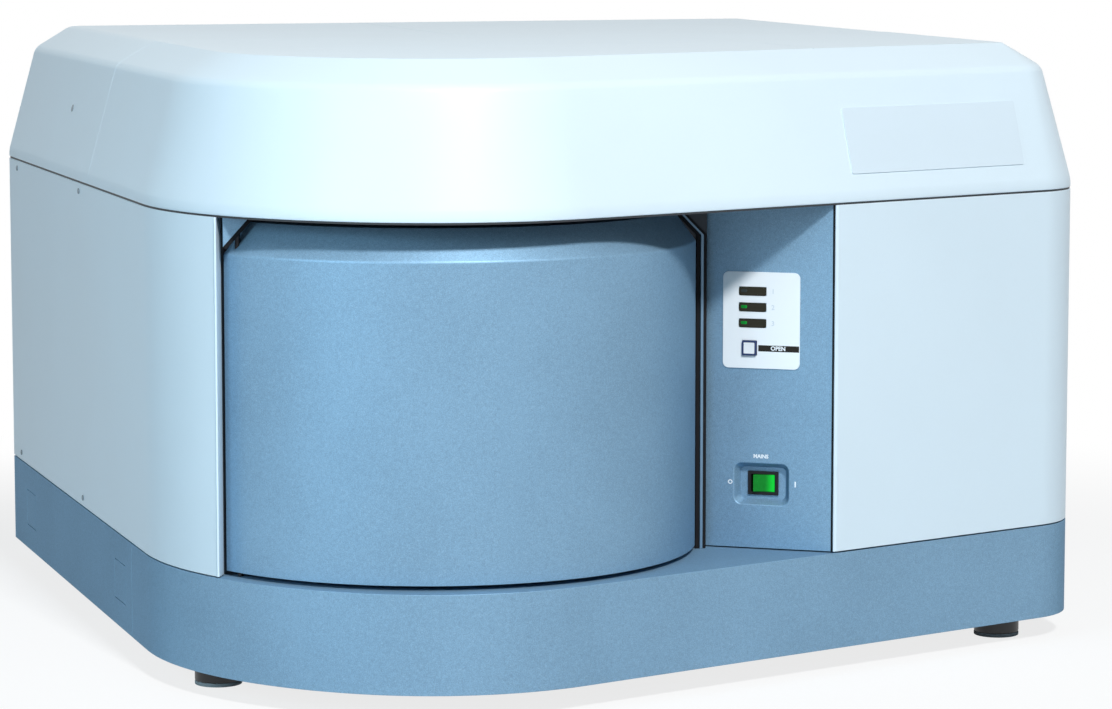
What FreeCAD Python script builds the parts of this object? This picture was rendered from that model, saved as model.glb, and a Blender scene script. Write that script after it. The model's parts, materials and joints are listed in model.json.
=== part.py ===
"""Confocal Raman microscope: a bench-top cabinet with a round sample-chamber door.

Row frame: +X to the right, +Y to the back, +Z up, millimetres. The origin is under the middle
of the cabinet, on the surface that its feet stand on.
"""
import FreeCAD
import Part
import math
import os

V = FreeCAD.Vector
UP = V(0, 0, 1)
BACK = V(0, 1, 0)
RIGHT = V(1, 0, 0)

# How far cutting tools run past the faces they cut, and past a whole wall
past = 1.0
far = 50.0

# Cabinet plan: straight sides, a large left corner, a round nose, a tapered front, a right corner
cabinet_width = 1000.0
cabinet_depth = 1070.0
corner_radius = 338.0
corner_turn = 55.6
nose_radius = 250.0
front_taper = 18.6
right_corner_radius = 80.0

# Heights of the cabinet's layers
foot_height = 25.0
base_height = 99.0
panel_height = 356.5
seam = 2.0
hood_skirt_height = 8.0
hood_lean_height = 120.0
hood_chamfer_height = 25.0
hood_lean_inset = 33.0
hood_top_inset = 75.0

# Sheet thicknesses
base_sheet = 3.0
deck_sheet = 2.0
panel_sheet = 2.0
hood_sheet = 3.0
frame_sheet = 3.0

# Seams between neighbouring covers
cover_gap = 0.8
plate_gap = 0.4
panel_foot_gap = 1.5
rear_recess = 3.0

# Seams and the lid, measured from the cabinet's left side and from its front
skirt_seam_from_front = 397.0
hood_seam_from_front = 600.0
hood_seam_from_left = 430.0
lid_from_left, lid_length = 170.0, 505.0
lid_from_front, lid_depth = 195.0, 154.0
lid_ledge = 12.0
lid_thickness = 1.5
left_panel_reach = 39.0
panel_flange = 15.0
frame_border = 45.0

# Feet
foot_radius = 24.0
foot_pad_height = 4.0
foot_neck_radius = 9.0
foot_block_height = 18.0
foot_chamfer = 1.5
foot_from_left, foot_from_right = 59.0, 83.0
foot_from_front, foot_from_rear = 259.0, 151.0

# Lifting-bar covers in the base
bar_cover_length, bar_cover_height = 54.0, 42.0
bar_cover_rim = 5.0
bar_cover_from_front, bar_cover_from_rear = 457.5, 107.5
bar_cover_rise = 49.0

# Posts that carry the upper frame
post_side = 30.0
post_from_front, post_from_rear = 650.0, 51.0
front_post_across, front_post_forward = 10.0, 48.0
screw_head_radius = 3.0
screw_head_height = 1.2
screw_edge_distance = 9.0
rear_screw_inset = 30.0

# Door: a round shell on two pivot pins at its left end
door_radius = 269.0
door_chord_offset = 109.0
door_chord_from_front = 180.0
door_gap_below = 5.0
door_crease_drop = 37.5
door_slope_height = 31.0
door_slope_inset = 22.0
door_sheet = 3.0
door_liner_sheet = 3.0
door_liner_inset = 2.5
door_pivot_along = 13.0
door_pivot_behind = 7.0
pivot_pin_radius = 2.5
pivot_clearance = 0.05
pivot_lug_radius = 5.2
pivot_lug_height = 16.0
pivot_lug_length = 30.0
gasket_width, gasket_depth = 9.0, 4.0
gasket_from_left_end, gasket_from_right_end = 12.0, 6.0
gasket_edge_distance = 4.0
frame_gap = 0.5

# Door frame behind the door
frame_from_panel_edge = 8.5
door_end_gap = 2.6
opening_from_frame, opening_from_door_end = 27.5, 20.0
opening_rise, opening_drop = 18.0, 13.0
door_to_trim, trim_width, trim_depth = 7.0, 3.0, 4.0
trim_to_frame_end = 8.0
trim_corner_drop = 32.5
seal_strip_width = 4.2

# Chamber walls
chamber_beyond_opening, chamber_inside_frame = 15.0, 2.0
chamber_rear_from_front = 495.0
chamber_sheet = 2.0
tongue_clearance = 2.0
beam_port_radius, beam_port_from_axis = 17.0, 80.0

# Control panel, turned to face the user; local u runs along it, local depth runs inwards
control_from_frame, control_behind_door = 1.0, 17.0
control_turn = 35.4
control_to_right_panel = 114.0
control_gap = 3.0
control_sheet = 2.0
control_flange = 14.0
indicator_u, indicator_drop = 60.3, 119.9
indicator_width, indicator_height = 81.0, 99.0
indicator_corner = 6.0
indicator_thickness = 1.2
window_u, window_width, window_height = 51.0, 29.0, 9.2
window_drops = (90.2, 106.6, 123.0)
window_proud = 0.4
window_ledge = 2.0
button_u, button_drop = 48.0, 148.5
button_side = 15.0
button_clearance = 0.3
button_proud = 2.2
button_length = 9.0
guide_wall = 4.0
guide_reach = 2.0
recess_u, recess_rise = 61.0, 67.6
recess_width, recess_height = 58.0, 43.0
recess_corner = 8.0
recess_depth = 9.0
recess_draft = 5.0
switch_width, switch_height = 32.0, 24.5
switch_rim = 1.8
switch_play = 0.2
switch_back_wall = 3.0
switch_body_depth = 22.0
rocker_width, rocker_height = 24.6, 17.2
rocker_tilt = 9.0
rocker_clearance = 0.4
rocker_proud = 3.4
rocker_dish = 1.6
rocker_skirt, rocker_skirt_inset = 3.0, 2.0
rocker_pin_radius = 1.5
rocker_pin_reach = 1.3
rocker_end_gap = 1.2
rocker_pivot_depth = 5.0

# Name plate on the hood, left blank
plate_start, plate_length = 22.0, 238.0
plate_low, plate_rise = 20.7, 68.5
plate_thickness = 1.0
plate_corner = 2.5

# Optical bench and its rubber mounts
isolator_height, isolator_radius = 15.0, 20.0
isolator_inset = 50.0
bench_thickness = 20.0
bench_side_inset, bench_rear_inset, bench_behind_chamber = 60.0, 55.0, 10.0
tongue_half_width, tongue_before_axis = 110.0, 85.0
wing_width, wing_inset = 295.0, 5.0

# Microscope
axis_from_door_centre, axis_from_front = 4.0, 320.0
stand_width, stand_before_axis, stand_before_wall = 190.0, 75.0, 10.0
stand_base_height = 60.0
stand_corner = 12.0
column_width, column_behind_axis = 104.0, 105.0
arm_drop, arm_height = 80.5, 42.0
arm_before_axis = 47.0
arm_bore_radius = 10.0
nosepiece_radius, nosepiece_height = 45.0, 12.0
nosepiece_offset = 30.0
nosepiece_shaft_radius = 8.0
nosepiece_shaft_length = 14.0
running_clearance = 0.05
slide_gap = 0.3
objective_lengths = (34.0, 44.0, 48.0, 50.0)
objective_radius = 11.5
objective_hole_radius, objective_bore_radius = 7.0, 3.0
barrel_share, tip_share = 0.62, 0.45
bracket_thickness, bracket_width = 12.0, 120.0
bracket_drop = 104.0
carriage_width, carriage_height = 80.0, 45.0
stage_thickness = 10.0
stage_y_size = (160.0, 140.0)
stage_x_size = (180.0, 120.0)
holder_size = (104.0, 64.0)
holder_thickness = 5.0
holder_ledge = (8.0, 4.0)
slide_size = (76.0, 26.0)
slide_thickness = 1.0
slide_play = 0.3
knob_radius, knob_length = 22.0, 18.0
knob_shaft_radius = 5.0
knob_behind_axis, knob_height_on_stand = 125.0, 34.0
camera_tube_radius, camera_tube_wall = 15.0, 4.0
camera_tube_length = 62.0
camera_body = (50.0, 56.0, 50.0)
soffit_hole_radius = 24.0
lamp_tube_radius, lamp_tube_length = 14.0, 24.0
lamp_size = (70.0, 90.0, 70.0)

# Spectrograph
spectrograph_width, spectrograph_from_right = 370.0, 70.0
spectrograph_behind_chamber, spectrograph_from_rear = 100.0, 85.0
spectrograph_height = 170.0
spectrograph_wall = 8.0
spectrograph_lid_thickness = 6.0
slit_size = (24.0, 50.0, 50.0)
slit_behind_front = 90.0
slit_hole_radius = 8.0
slit_bore_radius = 3.0
slit_snout_radius, slit_snout_length = 12.0, 12.0
beam_height = 85.0
mirror_radius, mirror_thickness = 42.0, 14.0
mirror_from_left = (110.0, 260.0)
mirror_rear_gap = 8.0
mirror_foot_width, mirror_foot_overlap = 40.0, 10.0
turret_from_left = 185.0
turret_radius, turret_height = 46.0, 10.0
turret_shaft_radius = 6.0
turret_base_height = 12.0
turret_base_radius = 34.0
grating_size = (68.0, 12.0, 68.0)
grating_distance = 24.0
detector_from_left = 280.0
detector_size = (76.0, 96.0, 80.0)
detector_tube_radius, detector_neck_length = 30.0, 12.0
detector_port_radius = 24.0
fin_slots, fin_slot_width, fin_slot_depth, fin_pitch = 6, 4.0, 12.0, 8.0

# Lasers and beam optics
laser_width, laser_box_height = 90.0, 106.0
laser_from_bench_end, laser_behind_chamber, laser_from_rear = 20.0, 150.0, 115.0
laser_nose_radius, laser_nose_length = 9.0, 12.0
laser_tube_from_box, laser_tube_radius, laser_tube_from_rear = 60.0, 23.0, 105.0
laser_block_length, laser_block_margin = 22.0, 8.0
laser_block_shares = (0.18, 0.82)
mirror_row_behind_chamber = 80.0
last_mirrors_behind_slit, last_mirror_from_case = 50.0, 80.0
mirror_post_radius = 7.0
mirror_foot_radius, mirror_foot_height = 15.0, 6.0
mirror_turn = 45.0
mirror_plate = (34.0, 10.0, 34.0)
wheel_behind_mirror = 78.0
wheel_radius, wheel_thickness = 40.0, 8.0
wheel_holes, wheel_hole_radius, wheel_hole_pitch = 6, 9.0, 27.0
wheel_shaft_radius, wheel_shaft_length = 4.0, 44.0
wheel_motor_side = 42.0
wheel_motor_length = 40.0
wheel_motor_gap = 2.0
wheel_foot_inset = 4.0

# Electronics in the base and at the back
supply_size = (200.0, 220.0, 70.0)
supply_from_left, supply_from_rear = 170.0, 155.0
supply_slots, supply_slot_width, supply_slot_pitch, supply_slot_depth = 8, 8.0, 20.0, 2.0
board_size = (260.0, 200.0)
board_from_right, board_from_rear = 180.0, 215.0
board_thickness = 1.6
board_standoff_height = 8.0
board_standoff_radius = 4.0
board_hole_inset = 10.0
chip_size = (32.0, 28.0, 3.0)
chip_columns, chip_rows, chip_pitch, chip_inset = 4, 2, 60.0, 30.0
connector_size = (70.0, 20.0, 12.0)
connector_inset = 20.0
capacitor_radius, capacitor_height, capacitor_inset = 10.0, 22.0, 40.0
fan_from_right, fan_side, fan_depth = 170.0, 120.0, 25.0
fan_ring_radius, fan_rotor_radius, fan_hub_radius = 57.0, 53.5, 20.0
fan_shaft_radius = 3.0
fan_arm_width = 4.0
fan_rotor_gap, fan_rotor_depth = 1.0, 19.0
fan_blades, blade_thickness, blade_chord, blade_pitch = 7, 2.4, 22.0, 35.0
fan_bars, fan_bar_width = 4, 2.0
fan_height_above_bench = 90.0
inlet_from_left, inlet_above_deck = 120.0, 60.0
inlet_width, inlet_height, inlet_depth = 48.0, 28.0, 24.0
inlet_socket = (24.0, 16.0, 16.0)
inlet_flange = 4.0
inlet_play = 0.4
inlet_rim = 2.0
inlet_pin_width, inlet_pin_height, inlet_pin_recess = 2.0, 4.0, 2.0
inlet_pin_places = ((-7.0, -2.0), (0.0, 2.0), (7.0, -2.0))
vent_rows, vent_slot_length, vent_slot_height, vent_pitch = 9, 150.0, 5.0, 11.0
vent_from_left = 380.0

# Door lock
lock_rise = 166.0
lock_body = (30.0, 26.0, 30.0)
lock_gap = 1.0
bolt_radius = 4.0
bolt_length = 26.0
strike_thickness = 3.0
strike_gap = 3.0
strike_reach = 17.0
strike_height = 26.0
strike_foot_length = 16.0
strike_clearance = 0.8

# Levels worked out from the heights
base_bottom_z = foot_height
deck_z = base_bottom_z + base_height
panel_top_z = deck_z + panel_height
hood_z = panel_top_z + seam
hood_lean_z = hood_z + hood_skirt_height
hood_chamfer_z = hood_lean_z + hood_lean_height
hood_top_z = hood_chamfer_z + hood_chamfer_height
panel_bottom_z = deck_z + panel_foot_gap
bench_z = deck_z + isolator_height + bench_thickness
door_bottom_z = deck_z + door_gap_below
door_crease_z = panel_top_z - door_crease_drop
door_top_z = door_crease_z + door_slope_height
opening_bottom = deck_z + opening_rise
opening_top = door_crease_z - opening_drop
trim_corner_z = panel_top_z - trim_corner_drop
bar_cover_z = base_bottom_z + bar_cover_rise
indicator_z = panel_top_z - indicator_drop
window_z = [panel_top_z - drop for drop in window_drops]
button_z = panel_top_z - button_drop
recess_z = deck_z + recess_rise
lock_z = deck_z + lock_rise
arm_bottom_z = panel_top_z - arm_drop
lamp_z = arm_bottom_z + arm_height / 2
bracket_top_z = arm_bottom_z - bracket_drop

# Places worked out from the plan
left_x = -cabinet_width / 2
right_x = cabinet_width / 2
front_y = -cabinet_depth / 2
rear_y = cabinet_depth / 2
rear_face_y = rear_y - rear_recess
skirt_seam_y = front_y + skirt_seam_from_front
hood_seam_x, hood_seam_y = left_x + hood_seam_from_left, front_y + hood_seam_from_front
foot_x_left, foot_x_right = left_x + foot_from_left, right_x - foot_from_right
foot_y_front, foot_y_rear = front_y + foot_from_front, rear_y - foot_from_rear
bar_cover_y = (front_y + bar_cover_from_front, rear_y - bar_cover_from_rear)
post_y = (front_y + post_from_front, rear_y - post_from_rear)
left_panel_edge_x = left_x + left_panel_reach

# Door, its frame and the control panel, from the left panel's edge to the right
frame_left = left_panel_edge_x + frame_from_panel_edge
door_half_width = math.sqrt(door_radius ** 2 - door_chord_offset ** 2)
door_left_x = frame_left + door_end_gap
door_centre_x = door_left_x + door_half_width
door_right_x = door_centre_x + door_half_width
trim_x = door_right_x + door_to_trim
frame_right = trim_x + trim_to_frame_end
control_x = frame_right + control_from_frame
right_panel_edge_x = control_x + control_to_right_panel
opening_left, opening_right = frame_left + opening_from_frame, door_right_x - opening_from_door_end
gasket_left, gasket_right = door_left_x + gasket_from_left_end, door_right_x - gasket_from_right_end
door_chord_y = front_y + door_chord_from_front
door_centre_y = door_chord_y + door_chord_offset
control_y = door_chord_y + control_behind_door
liner_rear_y = door_chord_y + door_liner_sheet
gasket_rear_y = liner_rear_y + gasket_depth
frame_front_y = gasket_rear_y + frame_gap
frame_rear_y = frame_front_y + frame_sheet

# Chamber, microscope and bench
chamber_left = opening_left - chamber_beyond_opening
chamber_right = frame_right - chamber_inside_frame
chamber_rear_y = front_y + chamber_rear_from_front
axis_x, axis_y = door_centre_x + axis_from_door_centre, front_y + axis_from_front
stand_front, stand_rear = axis_y - stand_before_axis, chamber_rear_y - stand_before_wall
column_front, arm_front = axis_y + column_behind_axis, axis_y - arm_before_axis
knob_y = axis_y + knob_behind_axis
beam_port_x = axis_x + beam_port_from_axis
bench_left, bench_right = left_x + bench_side_inset, right_x - bench_side_inset
bench_front, bench_rear = chamber_rear_y + bench_behind_chamber, rear_y - bench_rear_inset

# Spectrograph, lasers and electronics
spectrograph_right = right_x - spectrograph_from_right
spectrograph_left = spectrograph_right - spectrograph_width
spectrograph_front = chamber_rear_y + spectrograph_behind_chamber
spectrograph_rear = rear_y - spectrograph_from_rear
slit_y = spectrograph_front + slit_behind_front
turret_x, turret_y = spectrograph_left + turret_from_left, slit_y
detector_x = spectrograph_left + detector_from_left
laser_left, laser_right = bench_left + laser_from_bench_end, bench_left + laser_from_bench_end + laser_width
laser_front, laser_rear = chamber_rear_y + laser_behind_chamber, rear_y - laser_from_rear
laser_tube_x = laser_right + laser_tube_from_box
laser_tube_length = rear_y - laser_tube_from_rear - laser_front
mirror_row_y = chamber_rear_y + mirror_row_behind_chamber
wheel_x, wheel_y = beam_port_x, mirror_row_y + wheel_behind_mirror
fan_x = right_x - fan_from_right
inlet_x = left_x + inlet_from_left
vent_x = left_x + vent_from_left


def direction(degrees):
    """Unit vector in the plan at an angle from +X."""
    return V(math.cos(math.radians(degrees)), math.sin(math.radians(degrees)), 0)


def at(point, z):
    """The same plan point at another height."""
    return V(point.x, point.y, z)


nose_heading = 180 + corner_turn
taper_heading = 270 + front_taper
corner_y = (-cabinet_depth / 2 + corner_radius * math.sin(math.radians(corner_turn))
            + nose_radius * (1 - math.sin(math.radians(corner_turn))))
taper_length = ((cabinet_width - corner_radius * (1 - math.cos(math.radians(corner_turn)))
                 - nose_radius * (math.sin(math.radians(front_taper)) + math.cos(math.radians(corner_turn)))
                 - right_corner_radius * (1 - math.sin(math.radians(front_taper))))
                / math.cos(math.radians(front_taper)))
corner_centre = V(left_x + corner_radius, corner_y, 0)
nose_centre = corner_centre + direction(nose_heading) * (corner_radius - nose_radius)
taper_start = nose_centre + direction(taper_heading) * nose_radius
taper_end = taper_start + direction(front_taper) * taper_length
right_centre = taper_end + direction(90 + front_taper) * right_corner_radius
front_post = right_centre + V(front_post_across, -front_post_forward, 0)


def arc_edge(centre, radius, start, end, z):
    """Arc in the plan from one angle to another."""
    points = [at(centre + direction(angle) * radius, z) for angle in (start, (start + end) / 2, end)]
    return Part.Arc(*points).toShape()


def plan_wire(inset, z, rear=rear_y):
    """Closed outline of the cabinet, moved inwards by inset except at the back."""
    left, right = left_x + inset, right_x - inset
    start = V(left, rear, z)
    corner_start = V(left, corner_y, z)
    line_start = at(nose_centre + direction(taper_heading) * (nose_radius - inset), z)
    line_end = at(right_centre + direction(taper_heading) * (right_corner_radius - inset), z)
    corner_end = V(right, right_centre.y, z)
    end = V(right, rear, z)
    edges = [
        Part.LineSegment(start, corner_start).toShape(),
        arc_edge(corner_centre, corner_radius - inset, 180, nose_heading, z),
        arc_edge(nose_centre, nose_radius - inset, nose_heading, taper_heading, z),
        Part.LineSegment(line_start, line_end).toShape(),
        arc_edge(right_centre, right_corner_radius - inset, taper_heading, 360, z),
        Part.LineSegment(corner_end, end).toShape(),
        Part.LineSegment(end, start).toShape(),
    ]
    return Part.Wire(edges)


def plan_solid(inset, z0, z1, rear=rear_y):
    """Upright solid on the cabinet's outline."""
    return Part.Face(plan_wire(inset, z0, rear)).extrude(V(0, 0, z1 - z0))


def plan_loft(inset0, z0, inset1, z1, rear=rear_y):
    """Solid between two outlines with different insets."""
    return Part.makeLoft([plan_wire(inset0, z0, rear), plan_wire(inset1, z1, rear)], True, True)


def box(x0, x1, y0, y1, z0, z1):
    """Box between two corners."""
    return Part.makeBox(x1 - x0, y1 - y0, z1 - z0, V(x0, y0, z0))


def block(x, y, z0, size_x, size_y, size_z):
    """Box centred on a plan point, standing on z0."""
    return box(x - size_x / 2, x + size_x / 2, y - size_y / 2, y + size_y / 2, z0, z0 + size_z)


def rod(radius, length, base, axis=UP):
    """Cylinder from a base point along an axis."""
    return Part.makeCylinder(radius, length, base, axis)


def ring(outer, inner, length, base, axis=UP):
    """Tube from a base point along an axis."""
    return rod(outer, length, base, axis).cut(rod(inner, length, base, axis))


def prism(points, z0, z1):
    """Upright solid on a closed polygon of plan points."""
    corners = [V(x, y, z0) for x, y in points]
    return Part.Face(Part.makePolygon(corners + corners[:1])).extrude(V(0, 0, z1 - z0))


def folded_sheet(points, thickness, z0, z1):
    """Upright sheet that follows plan points, with its thickness to the left of the path."""
    path = [V(x, y, 0) for x, y in points]
    shifts = []
    for index in range(len(path)):
        before = path[index] - path[max(index - 1, 0)]
        after = path[min(index + 1, len(path) - 1)] - path[index]
        before = before if before.Length > 0 else after
        after = after if after.Length > 0 else before
        normal_before = V(-before.y, before.x, 0).normalize()
        normal_after = V(-after.y, after.x, 0).normalize()
        middle = (normal_before + normal_after).normalize()
        shifts.append(middle * (thickness / middle.dot(normal_before)))
    inner = [point + shift for point, shift in zip(path, shifts)]
    outline = path + inner[::-1]
    return prism([(point.x, point.y) for point in outline], z0, z1)


def rounded_rectangle(u, z, width, height, corner, depth):
    """Rounded rectangle wire in the upright plane at a local depth."""
    half_w, half_h = width / 2, height / 2
    edges = []
    corners = ((1, 1, 0), (-1, 1, 90), (-1, -1, 180), (1, -1, 270))
    for index, (side, level, start) in enumerate(corners):
        centre = V(u + side * (half_w - corner), depth, z + level * (half_h - corner))
        points = []
        for angle in (start, start + 45, start + 90):
            turn = math.radians(angle)
            points.append(centre + V(math.cos(turn) * corner, 0, math.sin(turn) * corner))
        edges.append(Part.Arc(*points).toShape())
        next_side, next_level, next_start = corners[(index + 1) % 4]
        turn = math.radians(next_start)
        next_centre = V(u + next_side * (half_w - corner), depth, z + next_level * (half_h - corner))
        next_point = next_centre + V(math.cos(turn) * corner, 0, math.sin(turn) * corner)
        edges.append(Part.LineSegment(points[-1], next_point).toShape())
    return Part.Wire(edges)


def rounded_plate(u, z, width, height, corner, depth0, depth1):
    """Rounded rectangular plate in the upright plane, between two local depths."""
    face = Part.Face(rounded_rectangle(u, z, width, height, corner, depth0))
    return face.extrude(V(0, depth1 - depth0, 0))


def together(shapes):
    """One solid from overlapping or touching solids."""
    joined = shapes[0]
    for shape in shapes[1:]:
        joined = joined.fuse(shape)
    return joined.removeSplitter()


def without(shape, tools):
    """The shape with each tool cut away."""
    for tool in tools:
        shape = shape.cut(tool)
    return shape


def group(shapes):
    """Separate solids that share one node."""
    return Part.makeCompound(shapes)


control_frame = FreeCAD.Placement(V(control_x, control_y, 0), FreeCAD.Rotation(UP, -control_turn))


def in_control_panel(shape):
    """Moves a shape from the control panel's local frame to its place."""
    placed = shape.copy()
    placed.Placement = control_frame.multiply(placed.Placement)
    return placed


# Feet and base


def foot_places():
    """Plan points of the four feet."""
    return [V(x, y, 0) for x in (foot_x_left, foot_x_right) for y in (foot_y_front, foot_y_rear)]


def foot_pads():
    """Pale rubber pads that meet the table."""
    return group([rod(foot_radius, foot_pad_height, place) for place in foot_places()])


def foot_blocks():
    """Black turned blocks with a neck up to the base."""
    feet = []
    for place in foot_places():
        body = rod(foot_radius, foot_block_height - foot_pad_height, at(place, foot_pad_height))
        body = body.makeChamfer(foot_chamfer, [body.Edges[0]])
        neck = rod(foot_neck_radius, base_bottom_z - foot_block_height, at(place, foot_block_height))
        feet.append(together([body, neck]))
    return group(feet)


def base_floor():
    """Flat steel sheet that closes the base from below."""
    return plan_solid(base_sheet, base_bottom_z, base_bottom_z + deck_sheet, rear_y - base_sheet)


def skirt_wall():
    """Upright wall all round the base, before it is divided."""
    outer = plan_solid(0, base_bottom_z, deck_z)
    inner = plan_solid(base_sheet, base_bottom_z - past, deck_z + past, rear_y - base_sheet)
    wall = outer.cut(inner)
    holes = []
    for y in bar_cover_y:
        for side in (left_x, right_x):
            holes.append(box(side - far, side + far, y - bar_cover_length / 2, y + bar_cover_length / 2,
                             bar_cover_z - bar_cover_height / 2, bar_cover_z + bar_cover_height / 2))
    return without(wall, holes)


def far_box(x0, x1, y0, y1):
    """Box of full height that picks a part of a wall."""
    return box(x0, x1, y0, y1, base_bottom_z - far, hood_top_z + far)


def skirt_pieces():
    """Wrap-around front piece of the base wall, and its left, right and rear pieces."""
    wall = skirt_wall()
    reach = cabinet_width
    front = wall.common(far_box(-reach, reach, -reach, skirt_seam_y))
    side_rear = rear_y - base_sheet - plate_gap
    left = wall.common(far_box(-reach, left_x + far, skirt_seam_y + cover_gap, side_rear))
    right = wall.common(far_box(right_x - far, reach, skirt_seam_y + cover_gap, side_rear))
    rear = wall.common(far_box(-reach, reach, rear_y - base_sheet, reach))
    return front, group([left, right, rear])


def lifting_bar_covers():
    """Flush plates in the openings for the lifting bars."""
    plates = []
    length = bar_cover_length - 2 * plate_gap
    height = bar_cover_height - 2 * plate_gap
    for y in bar_cover_y:
        for side, inward in ((left_x, 1), (right_x, -1)):
            x0, x1 = sorted((side, side + inward * base_sheet))
            f0, f1 = sorted((side + inward * base_sheet, side + inward * (base_sheet + deck_sheet)))
            face = box(x0, x1, y - length / 2, y + length / 2,
                       bar_cover_z - height / 2, bar_cover_z + height / 2)
            rim_l = bar_cover_length / 2 + bar_cover_rim
            rim_h = bar_cover_height / 2 + bar_cover_rim
            rim = box(f0, f1, y - rim_l, y + rim_l, bar_cover_z - rim_h, bar_cover_z + rim_h)
            plates.append(together([face, rim]))
    return group(plates)


def base_deck():
    """Top sheet of the base, which the cabinet stands on."""
    return plan_solid(base_sheet, deck_z - deck_sheet, deck_z, rear_y - base_sheet)


# Posts, side panels and rear panel


def frame_posts():
    """Square posts between the deck and the upper frame."""
    posts = []
    for y in post_y:
        posts.append(box(left_x + panel_sheet, left_x + panel_sheet + post_side,
                         y - post_side / 2, y + post_side / 2, deck_z, panel_top_z))
        posts.append(box(right_x - panel_sheet - post_side, right_x - panel_sheet,
                         y - post_side / 2, y + post_side / 2, deck_z, panel_top_z))
    posts.append(block(front_post.x, front_post.y, deck_z, post_side, post_side, panel_height))
    return group(posts)


def panel_wall():
    """Upright wall all round between the base and the hood, before it is divided."""
    outer = plan_solid(0, panel_bottom_z, panel_top_z)
    inner = plan_solid(panel_sheet, panel_bottom_z - past, panel_top_z + past, rear_y + far)
    return outer.cut(inner)


def outline_y(x):
    """Front Y of the cabinet's outline at a given X."""
    end = nose_centre.x + nose_radius * math.cos(math.radians(taper_heading))
    start = corner_centre.x + corner_radius * math.cos(math.radians(nose_heading))
    if x < start:
        return corner_centre.y - math.sqrt(corner_radius ** 2 - (x - corner_centre.x) ** 2)
    if x < end:
        return nose_centre.y - math.sqrt(nose_radius ** 2 - (x - nose_centre.x) ** 2)
    return taper_start.y + (x - taper_start.x) * math.tan(math.radians(front_taper))


def left_side_panel():
    """Panel that wraps the left side and the front corner, with a bent flange at the door."""
    wall = panel_wall().common(far_box(left_x - far, left_panel_edge_x, -cabinet_depth, rear_y))
    edge_y = outline_y(left_panel_edge_x)
    frame_x = frame_left - slide_gap
    bend_y = door_chord_y + slide_gap
    flange = folded_sheet([(left_panel_edge_x, edge_y), (frame_x, bend_y), (frame_x, frame_rear_y)],
                          panel_sheet, panel_bottom_z, panel_top_z)
    return together([wall, flange])


def right_side_panel():
    """Panel from the control panel round the right corner to the back."""
    wall = panel_wall().common(far_box(right_panel_edge_x, right_x + far, -cabinet_depth, rear_y))
    edge = V(right_panel_edge_x, outline_y(right_panel_edge_x), 0)
    inner = edge + direction(90 + front_taper) * panel_flange
    flange = folded_sheet([(inner.x, inner.y), (edge.x, edge.y)], panel_sheet,
                          panel_bottom_z, panel_top_z)
    return together([wall, flange])


def fan_z():
    """Height of the fan's axis."""
    return bench_z + fan_height_above_bench


def inlet_z():
    """Height of the middle of the mains inlet."""
    return deck_z + inlet_above_deck


def inlet_half_sizes(play):
    """Half width and half height of the inlet's body, made smaller by a play."""
    return inlet_width / 2 - inlet_flange - play, inlet_height / 2 - inlet_flange / 2 - play


def fan_grille():
    """Crossed bars in the round fan hole."""
    inner_y = rear_face_y - panel_sheet
    half_bar = fan_bar_width / 2
    bars = []
    for step in range(-fan_bars, fan_bars + 1):
        offset = step * fan_ring_radius / (fan_bars + 1)
        bars.append(box(fan_x - fan_ring_radius, fan_x + fan_ring_radius, inner_y, rear_face_y,
                        fan_z() + offset - half_bar, fan_z() + offset + half_bar))
        bars.append(box(fan_x + offset - half_bar, fan_x + offset + half_bar, inner_y, rear_face_y,
                        fan_z() - fan_ring_radius, fan_z() + fan_ring_radius))
    round_hole = rod(fan_ring_radius + half_bar, panel_sheet, V(fan_x, inner_y, fan_z()), BACK)
    return together(bars).common(round_hole)


def rear_panel():
    """Flat back with a fan grille, vent slots and a place for the mains inlet."""
    inner_y = rear_face_y - panel_sheet
    y0, y1 = inner_y - past, rear_face_y + past
    sheet = box(left_x + panel_sheet, right_x - panel_sheet, inner_y, rear_face_y,
                panel_bottom_z, panel_top_z)
    tools = [rod(fan_ring_radius, y1 - y0, V(fan_x, y0, fan_z()), BACK)]
    for row in range(vent_rows):
        z = bench_z + vent_pitch * (row + 1)
        tools.append(box(vent_x - vent_slot_length / 2, vent_x + vent_slot_length / 2, y0, y1,
                         z, z + vent_slot_height))
    half_width, half_height = inlet_half_sizes(0)
    tools.append(box(inlet_x - half_width, inlet_x + half_width, y0, y1,
                     inlet_z() - half_height, inlet_z() + half_height))
    return together([without(sheet, tools), fan_grille()])


def screw(place, axis):
    """Button-head screw whose head stands on a surface point and faces along the axis."""
    return rod(screw_head_radius, screw_head_height, place, axis)


def panel_screws():
    """Screws of the two side panels and of the rear panel."""
    screws = []
    heights = (panel_bottom_z + screw_edge_distance, panel_top_z - screw_edge_distance)
    for y in post_y:
        for z in heights:
            screws.append(screw(V(left_x, y, z), V(-1, 0, 0)))
            screws.append(screw(V(right_x, y, z), V(1, 0, 0)))
    for x in (left_x + rear_screw_inset, 0, right_x - rear_screw_inset):
        for z in heights:
            screws.append(screw(V(x, rear_face_y, z), BACK))
    return group(screws)


# Hood, upper frame and name plate


def hood_shell():
    """Whole hood: a short skirt, walls that lean inwards, a chamfer and a flat top."""
    outer = together([
        plan_solid(0, hood_z, hood_lean_z),
        plan_loft(0, hood_lean_z, hood_lean_inset, hood_chamfer_z),
        plan_loft(hood_lean_inset, hood_chamfer_z, hood_top_inset, hood_top_z),
    ])
    wall = hood_sheet
    rear = rear_y - wall
    bend_inset, bend_z = hood_lean_inset + wall, hood_chamfer_z - wall / 2
    inner = together([
        plan_solid(wall, hood_z - past, hood_lean_z, rear),
        plan_loft(wall, hood_lean_z, bend_inset, bend_z, rear),
        plan_loft(bend_inset, bend_z, hood_top_inset + wall, hood_top_z - wall, rear),
    ])
    return outer.cut(inner)


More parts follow.
